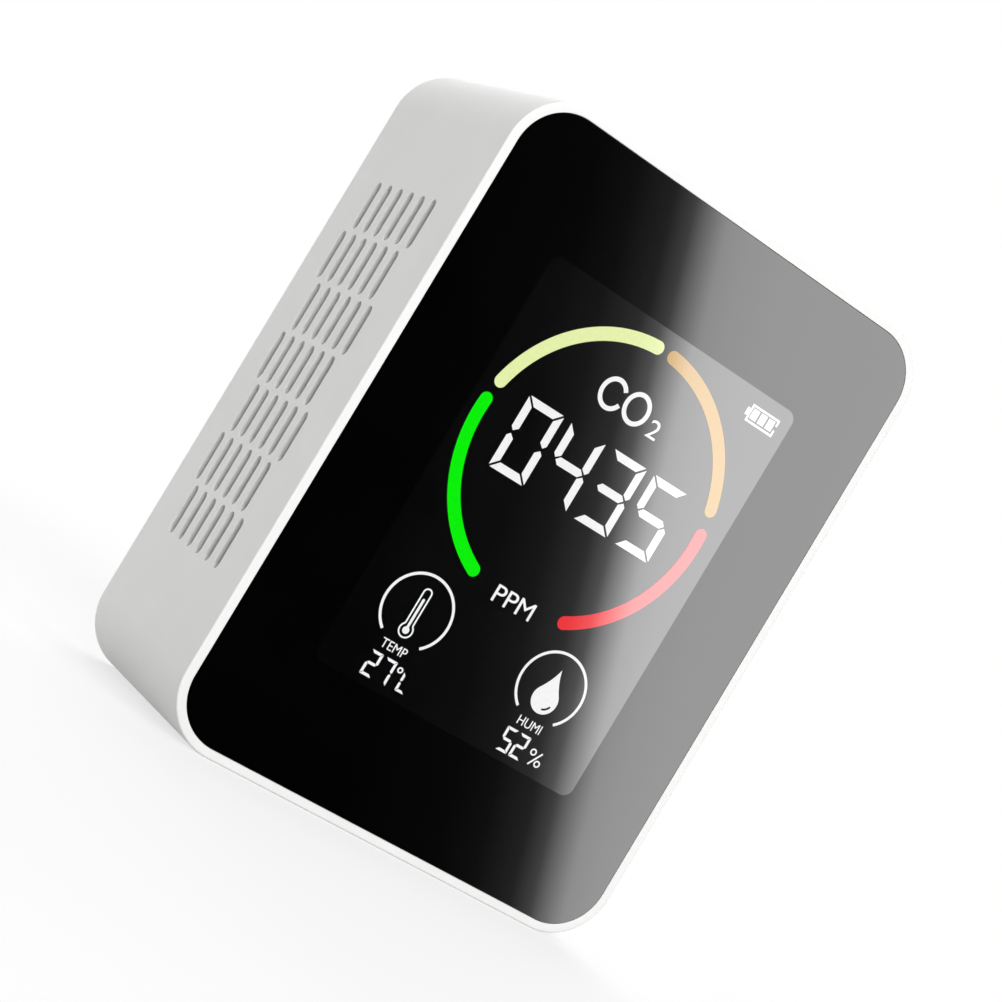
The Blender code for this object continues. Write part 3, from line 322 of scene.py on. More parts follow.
class Surface:
    """A node material: one Principled shader whose colour, roughness and bump come from noise."""

    def __init__(self, name, **plain):
        self.material = bpy.data.materials.new(name)
        self.material.use_nodes = True
        self.nodes = self.material.node_tree.nodes
        self.links = self.material.node_tree.links
        self.shader = self.nodes["Principled BSDF"]
        for socket, value in plain.items():
            self.shader.inputs[socket.replace("_", " ")].default_value = value
        self.place = self.nodes.new("ShaderNodeTexCoord").outputs["Object"]

    def noise(self, grain, detail=FINE_DETAIL, stretch=(1, 1, 1)):
        """Noise whose features are about as large as the grain, longer along stretched axes."""
        scale = self.nodes.new("ShaderNodeMapping")
        scale.inputs["Scale"].default_value = [1 / (grain * share) for share in stretch]
        self.links.new(self.place, scale.inputs["Vector"])
        node = self.nodes.new("ShaderNodeTexNoise")
        node.inputs["Scale"].default_value = 1.0
        node.inputs["Detail"].default_value = detail
        self.links.new(scale.outputs["Vector"], node.inputs["Vector"])
        return node.outputs["Fac"]

    def between(self, source, limits):
        """The source's middle range spread between two limits."""
        node = self.nodes.new("ShaderNodeMapRange")
        ends = ("From Min", "From Max", "To Min", "To Max")
        for end, value in zip(ends, (*NOISE_RANGE, *limits)):
            node.inputs[end].default_value = value
        self.links.new(source, node.inputs["Value"])
        return node.outputs["Result"]

    def tones(self, source, colour, shares):
        """A colour that runs from one share of itself to another over the source's middle range."""
        node = self.nodes.new("ShaderNodeValToRGB")
        fill_ramp(node, [(at, shade(colour, share)) for at, share in zip(NOISE_RANGE, shares)])
        self.links.new(source, node.inputs["Fac"])
        return node.outputs["Color"]

    def drive(self, socket, source):
        """Feed a shader socket from a node."""
        self.links.new(source, self.shader.inputs[socket])
        return self

    def bump(self, source, height):
        """Raise the surface by a source, up to a height."""
        node = self.nodes.new("ShaderNodeBump")
        node.inputs["Strength"].default_value = 1.0
        node.inputs["Distance"].default_value = height
        self.links.new(source, node.inputs["Height"])
        self.links.new(node.outputs["Normal"], self.shader.inputs["Normal"])
        return self

    def lean(self, slope):
        """Turn what the surface mirrors towards +X by a small slope."""
        face = self.nodes.new("ShaderNodeNewGeometry").outputs["Normal"]
        node = self.nodes.new("ShaderNodeVectorMath")
        node.operation = "ADD"
        node.inputs[1].default_value = (slope, 0, 0)
        self.links.new(face, node.inputs[0])
        self.links.new(node.outputs["Vector"], self.shader.inputs["Normal"])
        return self


def grained(name, colour, roughness, grain, relief, spread, **plain):
    """A moulded or coated surface: slight tone drift, fine grain and an uneven gloss."""
    made = Surface(name, **plain)
    drift = made.noise(grain * DRIFT_GRAINS, SOFT_DETAIL)
    fine = made.noise(grain)
    made.drive("Base Color", made.tones(drift, colour, (1 - spread, 1 + spread)))
    made.drive("Roughness", made.between(fine, [roughness * share for share in GRAIN_GLOSS]))
    return made.bump(fine, relief).material


def brushed(name, colour, roughness, grain, relief):
    """Plated metal with fine drawn lines along Z."""
    made = Surface(name, Metallic=1.0)
    lines = made.noise(grain, stretch=(1, 1, LINE_GRAINS))
    made.drive("Base Color", made.tones(lines, colour, LINE_TONES))
    made.drive("Roughness", made.between(lines, [roughness * share for share in LINE_GLOSS]))
    return made.bump(lines, relief).material


def printed_board(name, colour, copper):
    """Solder resist over copper tracks, with a fine laminate weave."""
    made = Surface(name, IOR=BOARD_IOR)
    tracks = made.nodes.new("ShaderNodeTexBrick")
    tracks.inputs["Scale"].default_value = 1 / TRACK_PITCH
    tracks.inputs["Mortar Size"].default_value = TRACK_LINE
    tracks.inputs["Color1"].default_value = (*colour, 1)
    tracks.inputs["Color2"].default_value = (*shade(colour, TRACK_TONE), 1)
    tracks.inputs["Mortar"].default_value = (*copper, 1)
    made.links.new(made.place, tracks.inputs["Vector"])
    weave = made.noise(WEAVE)
    made.drive("Base Color", tracks.outputs["Color"])
    made.drive("Roughness", made.between(weave, BOARD_GLOSS))
    return made.bump(weave, WEAVE_RELIEF).material


def polished(name, colour, ior, slope=0.0):
    """Polished acrylic, black behind: a faint cloud in the black and wiping haze in the gloss."""
    made = Surface(name, IOR=ior).lean(slope)
    cloud = made.noise(CLOUD, SOFT_DETAIL)
    made.drive("Base Color", made.tones(cloud, colour, CLOUD_TONES))
    return made.drive("Roughness", made.between(made.noise(HAZE), POLISH)).material


def lit(name, colour):
    """A lit mark behind the polished window: even light with the faint mottle of a diffuser."""
    made = Surface(name, IOR=WINDOW_IOR, Base_Color=(0, 0, 0, 1), Emission_Strength=1.0)
    made.lean(DISPLAY_LEAN)
    mottle = made.noise(MOTTLE, SOFT_DETAIL)
    made.drive("Emission Color", made.tones(mottle, colour, MOTTLE_TONES))
    return made.drive("Roughness", made.between(made.noise(HAZE), POLISH)).material


# Grained: colour, roughness, grain, relief and tone spread; brushed: the same without a spread
MATERIALS = {
    "white_shell": grained(
        "white_shell", SHELL_WHITE, 0.46, 0.16 * MM, 0.004 * MM, 0.012, IOR=SHELL_IOR
    ),
    "white_part": grained(
        "white_part", (0.88, 0.88, 0.87), 0.42, 0.25 * MM, 0.003 * MM, 0.015, IOR=SHELL_IOR
    ),
    "window_black": polished("window_black", (0.0007, 0.0007, 0.0008), BORDER_IOR),
    "display_glass": polished("display_glass", (0.0016, 0.0016, 0.0018), WINDOW_IOR, DISPLAY_LEAN),
    "black_tape": grained("black_tape", (0.02, 0.02, 0.02), 0.9, 0.2 * MM, 0.02 * MM, 0.2),
    "clear_acrylic": grained("clear_acrylic", (0.85, 0.88, 0.90), 0.12, 0.5 * MM, 0.001 * MM, 0.02),
    "amber_flex": grained("amber_flex", (0.55, 0.27, 0.05), 0.35, 0.4 * MM, 0.002 * MM, 0.12),
    "green_board": printed_board("green_board", (0.02, 0.18, 0.07), (0.05, 0.26, 0.09)),
    "black_part": grained("black_part", (0.02, 0.02, 0.022), 0.5, 0.12 * MM, 0.006 * MM, 0.2),
    "steel": brushed("steel", (0.66, 0.66, 0.67), 0.28, 0.06 * MM, 0.001 * MM),
    "gold_plate": brushed("gold_plate", (0.72, 0.55, 0.25), 0.3, 0.08 * MM, 0.001 * MM),
    "battery_foil": brushed("battery_foil", (0.70, 0.71, 0.72), 0.42, 0.5 * MM, 0.02 * MM),
    "grey_cable": grained("grey_cable", (0.40, 0.40, 0.41), 0.55, 0.2 * MM, 0.004 * MM, 0.06),
    "red_lead": grained("red_lead", (0.60, 0.03, 0.02), 0.45, 0.2 * MM, 0.004 * MM, 0.08),
    "black_lead": grained("black_lead", (0.02, 0.02, 0.02), 0.45, 0.2 * MM, 0.004 * MM, 0.2),
}
LIT = {
    "white": lit("lit_white", (0.90, 0.90, 0.90)),
    "green": lit("lit_green", (0.003, 0.87, 0.003)),
    "yellow": lit("lit_yellow", (0.78, 0.88, 0.41)),
    "orange": lit("lit_orange", (0.49, 0.265, 0.022)),
    "red": lit("lit_red", (0.82, 0.022, 0.03)),
}


def dress_cad_nodes():
    """Every carried-over node gets the material of its slot in the record."""
    for part in frame["record"]["subparts"]:
        data = frame["nodes"][part["node"]].data
        data.materials.clear()
        data.materials.append(MATERIALS[part["material_slot"]])


# Shell and window


def build_shell():
    """The housing as one ring of outlines, rounded at the rim and the back edge, with its vents."""

    def outer(inset):
        return moved(rounded(SHELL_W - 2 * inset, SHELL_H - 2 * inset, CORNER_R - inset), 0, MID_Z)

    recess_inset = RIM - PANEL_GAP
    seat_inset = (SHELL_W - COVER_W) / 2 - COVER_GAP
    loops = []
    for sine, cosine in quarter_turn():
        inset = recess_inset - RECESS_EDGE_R * (1 - cosine)
        loops.append((FRONT + RECESS_EDGE_R * (1 - sine), outer(inset)))
    for sine, cosine in quarter_turn():
        loops.append((FRONT + FRONT_EDGE_R * (1 - cosine), outer(FRONT_EDGE_R * (1 - sine))))
    for sine, cosine in quarter_turn():
        loops.append((BACK - BACK_EDGE_R * (1 - sine), outer(BACK_EDGE_R * (1 - cosine))))
    for sine, cosine in quarter_turn():
        inset = seat_inset - RECESS_EDGE_R * (1 - sine)
        loops.append((BACK - RECESS_EDGE_R * (1 - cosine), outer(inset)))
    floor = PANEL_HIGH.y + RECESS_FLOOR
    opening = moved(rounded(CELL_W + 2 * CELL_GAP, CELL_H + 2 * CELL_GAP, CELL_GAP), 0, MID_Z)
    loops += [
        (COVER_HIGH.y - WALL - COVER_GAP, outer(seat_inset)),
        (COVER_HIGH.y - WALL - COVER_GAP, outer(WALL)),
        (CELL_HIGH.y, outer(WALL)),
        (CELL_HIGH.y, opening),
        (floor, opening),
        (floor, outer(recess_inset)),
    ]
    mesh = bmesh.new()
    add_skin(mesh, [along_y(outline, y) for y, outline in loops], closed=True)
    shell = new_piece("housing_shell", mesh)
    cut(shell, vent_cutter())
    smooth(shell)
    dress(shell, "monitor", "white_shell", MATERIALS["white_shell"])
    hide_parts("housing")


def vent_cutter():
    """Slots through both sides, each with a rounded mouth on the outside."""
    mesh = bmesh.new()
    face = SHELL_W / 2
    inside = face - CUT_REACH * WALL
    for row in range(VENT_ROWS):
        z = MID_Z + VENT_RISE + ((VENT_ROWS - 1) / 2 - row) * VENT_PITCH_Z
        stagger = VENT_STAGGER * (1 if row % 2 else -1)
        for column in range(VENT_COLUMNS):
            y = FRONT + VENT_SETBACK + stagger + (column - (VENT_COLUMNS - 1) / 2) * VENT_PITCH_Y
            for side in (-1, 1):
                levels = [(face + WALL, VENT_EDGE_R)]
                for sine, cosine in quarter_turn():
                    levels.append((face - VENT_EDGE_R * (1 - cosine), VENT_EDGE_R * (1 - sine)))
                levels.append((inside, 0))
                loops = []
                for x, flare in levels:
                    outline = slot_outline(VENT_W + 2 * flare, VENT_L + 2 * flare)
                    loops.append(along_x(moved(outline, y, z), side * x))
                add_skin(mesh, loops)
    return new_piece("vents", mesh)


def build_window():
    """The polished panel: a black border round the display's window, which is a zone of its own."""

    def panel(inset):
        outline = rounded(PANEL_W - 2 * inset, PANEL_H - 2 * inset, CORNER_R - RIM - inset)
        return moved(outline, 0, MID_Z)

    loops = [along_y(panel(0), PANEL_HIGH.y)]
    for sine, cosine in quarter_turn():
        outline = panel(PANEL_EDGE_R * (1 - cosine))
        loops.append(along_y(outline, PANEL_LOW.y + PANEL_EDGE_R * (1 - sine)))
    loops.append(along_y(moved(rounded(WINDOW_W, WINDOW_H, WINDOW_R), 0, MID_Z), PANEL_LOW.y))
    mesh = bmesh.new()
    _, display = add_skin(mesh, loops)
    display.material_index = 1
    window = new_piece("front_window", mesh)
    smooth(window)
    dress(window, "monitor", "window_black", MATERIALS["window_black"], MATERIALS["display_glass"])
    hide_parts("front_panel")
    return window


# Rear cover, its screws, the power button and the inlet


def middle_of(node):
    """Where a node's axis along Y meets the XZ plane."""
    low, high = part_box(node)
    return (low.x + high.x) / 2, (low.z + high.z) / 2


def turned(name, profile, place):
    """A round piece about a line along Y, from pairs of radius and depth."""
    mesh = bmesh.new()
    add_skin(mesh, [along_y(moved(circle(radius), *place), y) for radius, y in profile])
    return new_piece(name, mesh)


def hole_levels(depth):
    """Depths and growth of a hole that runs in from the back, with a rounded mouth."""
    levels = [(BACK + HOLE_EDGE_R, HOLE_EDGE_R)]
    for sine, cosine in quarter_turn():
        levels.append((BACK - HOLE_EDGE_R * (1 - cosine), HOLE_EDGE_R * (1 - sine)))
    return levels + [(BACK - depth, 0)]


def build_cover():
    """The plate that closes the back, with its screw seats, inlet and button hole."""

    def plate(inset):
        corner = CORNER_R - (SHELL_W - COVER_W) / 2 - inset
        return moved(rounded(COVER_W - 2 * inset, COVER_H - 2 * inset, corner), 0, MID_Z)

    loops = [along_y(plate(0), BACK - COVER_T)]
    for sine, cosine in quarter_turn():
        outline = plate(COVER_EDGE_R * (1 - cosine))
        loops.append(along_y(outline, BACK - COVER_EDGE_R * (1 - sine)))
    mesh = bmesh.new()
    add_skin(mesh, loops)
    cover = new_piece("rear_plate", mesh)
    cut(cover, cover_cutter())
    smooth(cover)
    dress(cover, "monitor", "white_shell", MATERIALS["white_shell"])
    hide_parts("rear_cover")


def cover_cutter():
    """Stepped holes for the screws, and holes for the inlet and the button."""
    mesh = bmesh.new()
    through = CUT_REACH * COVER_T
    for number in COVER_SCREWS:
        place = middle_of(f"cover_screw_{number}")
        low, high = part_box(f"cover_screw_{number}")
        sink = (high.x - low.x) / 2 + COUNTERBORE_GAP
        levels = [(y, sink + grow) for y, grow in hole_levels(COUNTERBORE_DEPTH)]
        levels += [(BACK - COUNTERBORE_DEPTH, SHANK_HOLE_R), (BACK - through, SHANK_HOLE_R)]
        add_skin(mesh, [along_y(moved(circle(radius), *place), y) for y, radius in levels])
    low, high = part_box("usb_socket")
    inlet = []
    for y, grow in hole_levels(through):
        room = INLET_GAP + grow
        width, height = high.x - low.x + 2 * room, high.z - low.z + 2 * room
        outline = rounded(width, height, INLET_R + room, SLOT_STEPS)
        inlet.append(along_y(moved(outline, *middle_of("usb_socket")), y))
    add_skin(mesh, inlet)
    button = []
    for y, grow in hole_levels(through):
        outline = circle(BUTTON_R + BUTTON_GAP + grow)
        button.append(along_y(moved(outline, *middle_of("power_button")), y))
    add_skin(mesh, button)
    return new_piece("holes", mesh)


def build_cover_screw(number):
    """A domed screw with a tapered cross recess."""
    node = f"cover_screw_{number}"
    low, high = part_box(node)
    place = middle_of(node)
    head_r = (high.x - low.x) / 2
    seat = high.y - HEAD_H
    profile = [(SHANK_TIP_R, low.y), (SHANK_R, low.y + SHANK_R), (SHANK_R, seat), (head_r, seat)]
    for sine, cosine in quarter_turn()[:-1]:
        profile.append((head_r * cosine, seat + HEAD_EDGE_H + (HEAD_H - HEAD_EDGE_H) * sine))
    screw = turned(f"rear_screw_{number}", profile, place)
    depths = ((high.y + CROSS_DEPTH, 1), (high.y, 1), (high.y - CROSS_DEPTH, CROSS_TAPER))
    for lying in (False, True):
        levels = []
        for y, share in depths:
            sides = (CROSS_L * share / 2, CROSS_W * share / 2)
            u, v = sides if lying else sides[::-1]
            levels.append(along_y(moved([(u, v), (-u, v), (-u, -v), (u, -v)], *place), y))
        mesh = bmesh.new()
        add_skin(mesh, levels)
        cut(screw, new_piece("cross", mesh))
    smooth(screw)
    dress(screw, "monitor", "steel", MATERIALS["steel"])
    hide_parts(node)


def build_button():
    """The power button: a flanged cap with a rounded edge and a shallow dish for the finger."""
    low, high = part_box("power_button")
    flange_r = (high.x - low.x) / 2
    flange = COVER_HIGH.y - COVER_T - COVER_GAP
    profile = [
        (flange_r, flange - BUTTON_FLANGE_T),
        (flange_r, flange),
        (BUTTON_R, flange),
    ]
    for sine, cosine in quarter_turn():
        radius = BUTTON_R - BUTTON_EDGE_R * (1 - cosine)
        profile.append((radius, high.y - BUTTON_EDGE_R * (1 - sine)))
    for step in range(DISH_STEPS):
        share = 1 - step / DISH_STEPS
        profile.append((BUTTON_R * DISH_SHARE * share, high.y - BUTTON_DISH * (1 - share * share)))
    cap = turned("button_cap", profile, middle_of("power_button"))
    smooth(cap)
    dress(cap, "button", "white_part", MATERIALS["white_part"])
    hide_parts("power_button")


def build_inlet_shell():
    """The inlet's drawn shell with a rolled lip."""
    low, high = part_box("usb_socket")
    place = middle_of("usb_socket")

    def wall(inset):
        width, height = high.x - low.x - 2 * inset, high.z - low.z - 2 * inset
        return moved(rounded(width, height, INLET_R - inset, SLOT_STEPS), *place)

    lip = INLET_WALL / 2
    loops = [along_y(wall(0), low.y)]
    for sine, cosine in quarter_turn():
        loops.append(along_y(wall(lip * (1 - cosine)), high.y - lip * (1 - sine)))
    for sine, cosine in quarter_turn()[1:]:
        loops.append(along_y(wall(lip + lip * sine), high.y - lip * (1 - cosine)))
    loops.append(along_y(wall(INLET_WALL), low.y + INLET_FLOOR))
    mesh = bmesh.new()
    add_skin(mesh, loops)
    socket = new_piece("inlet_shell", mesh)
    smooth(socket)
    dress(socket, "monitor", "steel", MATERIALS["steel"])
    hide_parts("usb_socket")


def build_inlet_tongue():
    """The tongue in the inlet, tapered at its end, and the contacts on both its faces."""
    low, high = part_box("usb_tongue")
    place = middle_of("usb_socket")
    width, thick = high.x - low.x, high.z - low.z
    loops = []
    for y, inset in ((low.y, 0), (high.y - TONGUE_TAPER, 0), (high.y, TONGUE_EDGE)):
        outline = rounded(width - 2 * inset, thick - 2 * inset, TONGUE_EDGE, EDGE_STEPS)
        loops.append(along_y(moved(outline, *place), y))
    mesh = bmesh.new()
    add_skin(mesh, loops)
    tongue = new_piece("inlet_tongue", mesh)
    smooth(tongue)
    dress(tongue, "monitor", "black_part", MATERIALS["black_part"])
    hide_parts("usb_tongue")

    mesh = bmesh.new()
    end = high.y - CONTACT_SETBACK
    for face in (-1, 1):
        for number in range(CONTACTS):
            x = (number - (CONTACTS - 1) / 2) * CONTACT_PITCH
            z = face * (thick / 2 + CONTACT_T / 2 - CONTACT_SUNK)
            outline = moved(rounded(CONTACT_W, CONTACT_T, CONTACT_EDGE_R, steps=1), x, z)
            add_skin(mesh, [along_y(moved(outline, *place), y) for y in (end - CONTACT_L, end)])
    contacts = new_piece("inlet_contacts", mesh)
    dress(contacts, "monitor", "gold_plate", MATERIALS["gold_plate"])


def build_back():
    """Everything that shows from behind."""
    build_cover()
    for number in COVER_SCREWS:
        build_cover_screw(number)
    build_button()
    build_inlet_shell()
    build_inlet_tongue()


# Lit marks on the display

MARK_PIECES = []


def marks(name, outlines, material, lift=0.0):
    """One piece of flat lit shapes, outlined in millimetres, standing out of the window."""
    mesh = bmesh.new()
    front = PANEL_LOW.y - MARK_PROUD - lift
    for outline in outlines:
        points = [(u * MM, v * MM) for u, v in outline]
        add_skin(mesh, [along_y(points, front), along_y(points, PANEL_LOW.y + MARK_ROOT)])
    piece = new_piece(name, mesh)
    dress(piece, "monitor", "display_glass", material)
    MARK_PIECES.append(piece)


def on_oval(centre, across, up, angle):
    """A point of an ellipse at an angle in degrees, counterclockwise from the right."""
    turn = math.radians(angle)
    return (centre[0] + across * math.cos(turn), centre[1] + up * math.sin(turn))


def oval(centre, across, up, start, stop):
    """Points along an ellipse between two angles in degrees."""
    count = max(2, round(abs(stop - start) / ARC_STEP_DEG))
    angles = [start + (stop - start) * step / count for step in range(count + 1)]
    return [on_oval(centre, across, up, angle) for angle in angles]


def arc(centre, radius, start, stop):
    """Points along a circle between two angles in degrees."""
    return oval(centre, radius, radius, start, stop)


def bowl(centre, across, up, width, start, stop):
    """The curved stroke of a round letter, from its outer half sizes."""
    outer = oval(centre, across, up, start, stop)
    return outer + oval(centre, across - width, up - width, stop, start)


def band(centre, radius, width, start, stop, round_ends=True):
    """A ring sector of a width about its middle radius; its angles include round ends."""
    half = width / 2
    cap = math.degrees(half / radius) if round_ends else 0
    first = start + cap
    last = stop - cap
    outline = arc(centre, radius + half, first, last)
    if round_ends:
        end = on_oval(centre, radius, radius, last)
        outline += arc(end, half, last, last + 180)[1:-1]
    outline += arc(centre, radius - half, last, first)
    if round_ends:
        end = on_oval(centre, radius, radius, first)
        outline += arc(end, half, first + 180, first + 360)[1:-1]
    return outline


def ring(centre, radius, width):
    """A full ring as two half bands."""
    return [band(centre, radius, width, turn, turn + 180, False) for turn in (0, 180)]


def stroke(start, end, width):
    """A straight line of a width with square ends."""
    first, last = Vector(start), Vector(end)
    along = (last - first).normalized() * width / 2
    across = Vector((-along.y, along.x))
    corners = (first + across, first - across, last - across, last + across)
    return [tuple(corner) for corner in corners]


def bend(start, pull, end, steps):
    """Points between the ends of a curve that is drawn towards a third point."""
    points = []
    for step in range(1, steps):
        t = step / steps
        point = [
            (1 - t) ** 2 * first + 2 * t * (1 - t) * drawn + t * t * last
            for first, drawn, last in zip(start, pull, end)
        ]
        points.append(tuple(point))
    return points


def rectangle(left, bottom, right, top):
    """A square-cornered outline from its sides."""
    return [(right, bottom), (right, top), (left, top), (left, bottom)]


# Bars of a seven-bar figure that are lit, and shares of a bar's thickness at the waist
LIT_SEGMENTS = {
    "0": "abcdef",
    "2": "abdeg",
    "3": "abcdg",
    "4": "bcfg",
    "5": "acdfg",
    "7": "abc",
    "L": "def",
}
TIP_SHARE = 0.4
NOTCH_SHARE = 0.8


def digit(figure, left, bottom, width, height, thick, gap):
    """The lit bars of a seven-bar figure, with mitred corners and pointed ends at the waist."""
    waist = height / 2
    tip = TIP_SHARE * thick
    inner = waist + gap + NOTCH_SHARE * (thick - tip)
    top = [
        (gap, height),
        (width - gap, height),
        (width - thick - gap, height - thick),
        (thick + gap, height - thick),
    ]
    upper = [
        (0, height - gap),
        (thick, height - thick - gap),
        (thick, inner),
        (tip, waist + gap),
        (0, waist + gap + tip),
    ]
    near = tip + gap
    far = near + thick / 2
    middle = [
        (near, waist),
        (far, waist + thick / 2),
        (width - far, waist + thick / 2),
        (width - near, waist),
        (width - far, waist - thick / 2),
        (far, waist - thick / 2),
    ]

    def mirrored(points, side=False, end=False):
        return [(width - u if side else u, height - v if end else v) for u, v in points]

    bars = {
        "a": top,
        "b": mirrored(upper, side=True),
        "c": mirrored(upper, side=True, end=True),
        "d": mirrored(top, end=True),
        "e": mirrored(upper, end=True),
        "f": upper,
        "g": middle,
    }
    return [moved(bars[bar], left, bottom) for bar in LIT_SEGMENTS[figure]]


# Depth of raw text, which is then fitted to the depth of the marks
TEXT_DEPTH = 0.5


def lettering(name, text, box):
    """Plain white capitals fitted to a box on the display."""
    left, bottom, right, top = box
    curve = bpy.data.curves.new(name, "FONT")
    curve.body = text
    curve.extrude = TEXT_DEPTH
    flat = bpy.data.objects.new(name + "_text", curve)
    bpy.context.scene.collection.objects.link(flat)
    bpy.context.view_layer.update()
    depsgraph = bpy.context.evaluated_depsgraph_get()
    mesh = bpy.data.meshes.new_from_object(flat.evaluated_get(depsgraph))
    bpy.data.objects.remove(flat)
    low = [min(vertex.co[axis] for vertex in mesh.vertices) for axis in range(3)]
    high = [max(vertex.co[axis] for vertex in mesh.vertices) for axis in range(3)]
    front = PANEL_LOW.y - MARK_PROUD
    deep = MARK_PROUD + MARK_ROOT
    for vertex in mesh.vertices:
        u, v, w = [(vertex.co[axis] - low[axis]) / (high[axis] - low[axis]) for axis in range(3)]
        x = (left + u * (right - left)) * MM
        z = (bottom + v * (top - bottom)) * MM
        vertex.co = (x, front + deep * (1 - w), z)
    mesh.name = name
    piece = bpy.data.objects.new(name, mesh)
    bpy.context.scene.collection.objects.link(piece)
    dress(piece, "monitor", "display_glass", LIT["white"])
    MARK_PIECES.append(piece)


# Places and sizes on the display in millimetres; a box is its left, bottom, right and top
GAUGE_CENTRE = (-0.545, 51.745)
GAUGE_R = 18.2
GAUGE_SQUEEZE = 0.966
GAUGE_BAND = 1.76
GAUGE_ARCS = {
    "orange": (12.6, 88.4),
    "yellow": (91.2, 168.6),
    "green": (172.0, 248.6),
    "red": (-68.5, 7.5),
}

# Gas symbol, large reading and its unit
GAS_LETTERS_X = (-3.8, 0.1)
GAS_LETTERS_Z = 62.17
GAS_HALF_W = 1.98
GAS_HALF_H = 2.19
GAS_STROKE = 0.6
GAS_OPEN_ARC = (30, 334)
GAS_INDEX_BOX = (2.8, 60.0, 4.4, 62.35)
READING = "0435"
READING_LEFT = -13.31
READING_STEP = 6.75
READING_BOTTOM = 46.81
READING_W = 5.5
READING_H = 9.85
READING_BAR = 1.05
READING_GAP = 0.2
UNIT_BOX = (-3.7, 33.05, 2.3, 35.3)

# Battery symbol
BATTERY_BOX = (13.84, 68.39, 18.4, 70.73)
BATTERY_LINE = 0.27
BATTERY_BREAK = (69.29, 69.84)
KNOB_BOX = (13.37, 69.05, 13.84, 70.07)
CHARGE_BARS = 3
CHARGE_PITCH = 1.3
CHARGE_BOX = (14.27, 68.9, 15.28, 70.3)

# Small readings under their dials
DIAL_R = 4.74
DIAL_LINE = 0.36
DIAL_OPEN_DEG = 37
DIAL_Z = 27.37
SMALL_BOTTOM = 17.6
SMALL_W = 1.7
SMALL_H = 3.27
SMALL_BAR = 0.36
SMALL_GAP = 0.05

# Thermometer, temperature and its scale
TEMPERATURE_X = -11.37
TUBE_R = 0.66
TUBE_TOP = 30.5
BULB_R = 1.03
BULB_Z = 24.75
GLASS_LINE = 0.2
COLUMN_R = 0.17
COLUMN_TOP = 29.1
COLUMN_BULB_R = 0.47
TEMPERATURE_LABEL_BOX = (-13.35, 21.6, -9.6, 22.8)
TEMPERATURE_FIGURES = {"2": -13.83, "7": -11.67}
SCALE_LEFT = -8.58
SCALE_BOTTOM = 17.8
SCALE_W = 1.35
SCALE_H = 2.5
SCALE_BAR = 0.34
DEGREE_CENTRE = (-9.22, 20.22)
DEGREE_R = 0.3
DEGREE_LINE = 0.19

# Drop, humidity and its percent sign
HUMIDITY_X = 9.94
DROP_CENTRE = (9.96, 25.8)
DROP_R = 1.89
DROP_TIP_Z = 30.02
DROP_FULL_DEG = 8
DROP_NECK_HALF_W = 0.42
DROP_NECK_L = 1.6
DROP_STEPS = 8
GLINT_R = 1.25
GLINT_LINE = 0.26
GLINT_ARC = (-80, -20)
GLINT_LIFT = 0.01 * MM
HUMIDITY_LABEL_BOX = (8.15, 21.6, 11.75, 22.8)
HUMIDITY_FIGURES = {"5": 7.46, "2": 9.5}
PERCENT_RINGS = ((12.42, 19.5), (13.69, 18.36))
PERCENT_RING_R = 0.36
PERCENT_RING_LINE = 0.2
PERCENT_SLASH = ((12.5, 17.85), (13.72, 19.82))
PERCENT_SLASH_LINE = 0.22


def build_gauge():
    """Four coloured arcs round the reading, on a ring that is slightly taller than wide."""
    middle = GAUGE_CENTRE[0]
    for colour, (start, stop) in GAUGE_ARCS.items():
        outline = band(GAUGE_CENTRE, GAUGE_R, GAUGE_BAND, start, stop)
        squeezed = [(middle + (u - middle) * GAUGE_SQUEEZE, v) for u, v in outline]
        marks(f"gauge_{colour}", [squeezed], LIT[colour])


def build_reading():
    """The gas symbol, the four large figures and their unit."""
    for place, figure in enumerate(READING):
        left = READING_LEFT + place * READING_STEP
        bars = digit(figure, left, READING_BOTTOM, READING_W, READING_H, READING_BAR, READING_GAP)
        marks(f"reading_{place + 1}", bars, LIT["white"])
    open_letter, round_letter = [(x, GAS_LETTERS_Z) for x in GAS_LETTERS_X]
    letters = [bowl(open_letter, GAS_HALF_W, GAS_HALF_H, GAS_STROKE, *GAS_OPEN_ARC)]
    for turn in (0, 180):
        letters.append(bowl(round_letter, GAS_HALF_W, GAS_HALF_H, GAS_STROKE, turn, turn + 180))
    marks("gas_symbol", letters, LIT["white"])
    lettering("gas_index", "2", GAS_INDEX_BOX)
    lettering("reading_unit", "PPM", UNIT_BOX)


def build_battery_mark():
    """Battery symbol: an open frame, its knob and three bars."""
    left, bottom, right, top = BATTERY_BOX
    line = BATTERY_LINE
    shapes = [
        rectangle(left, top - line, right, top),
        rectangle(left, bottom, right, bottom + line),
        rectangle(left, bottom + line, left + line, top - line),
        rectangle(right - line, bottom + line, right, BATTERY_BREAK[0]),
        rectangle(right - line, BATTERY_BREAK[1], right, top - line),
        rectangle(*KNOB_BOX),
    ]
    for bar in range(CHARGE_BARS):
        shapes.append(moved(rectangle(*CHARGE_BOX), bar * CHARGE_PITCH, 0))
    marks("battery_mark", shapes, LIT["white"])


def dial(name, x):
    """A thin ring, open at the bottom, round a symbol."""
    start, stop = DIAL_OPEN_DEG - 90, 270 - DIAL_OPEN_DEG
    marks(name, [band((x, DIAL_Z), DIAL_R, DIAL_LINE, start, stop, False)], LIT["white"])


def small_figures(lefts):
    """The lit bars of a small reading, from the left side of each figure."""
    bars = []
    for figure, left in lefts.items():
        bars += digit(figure, left, SMALL_BOTTOM, SMALL_W, SMALL_H, SMALL_BAR, SMALL_GAP)
    return bars


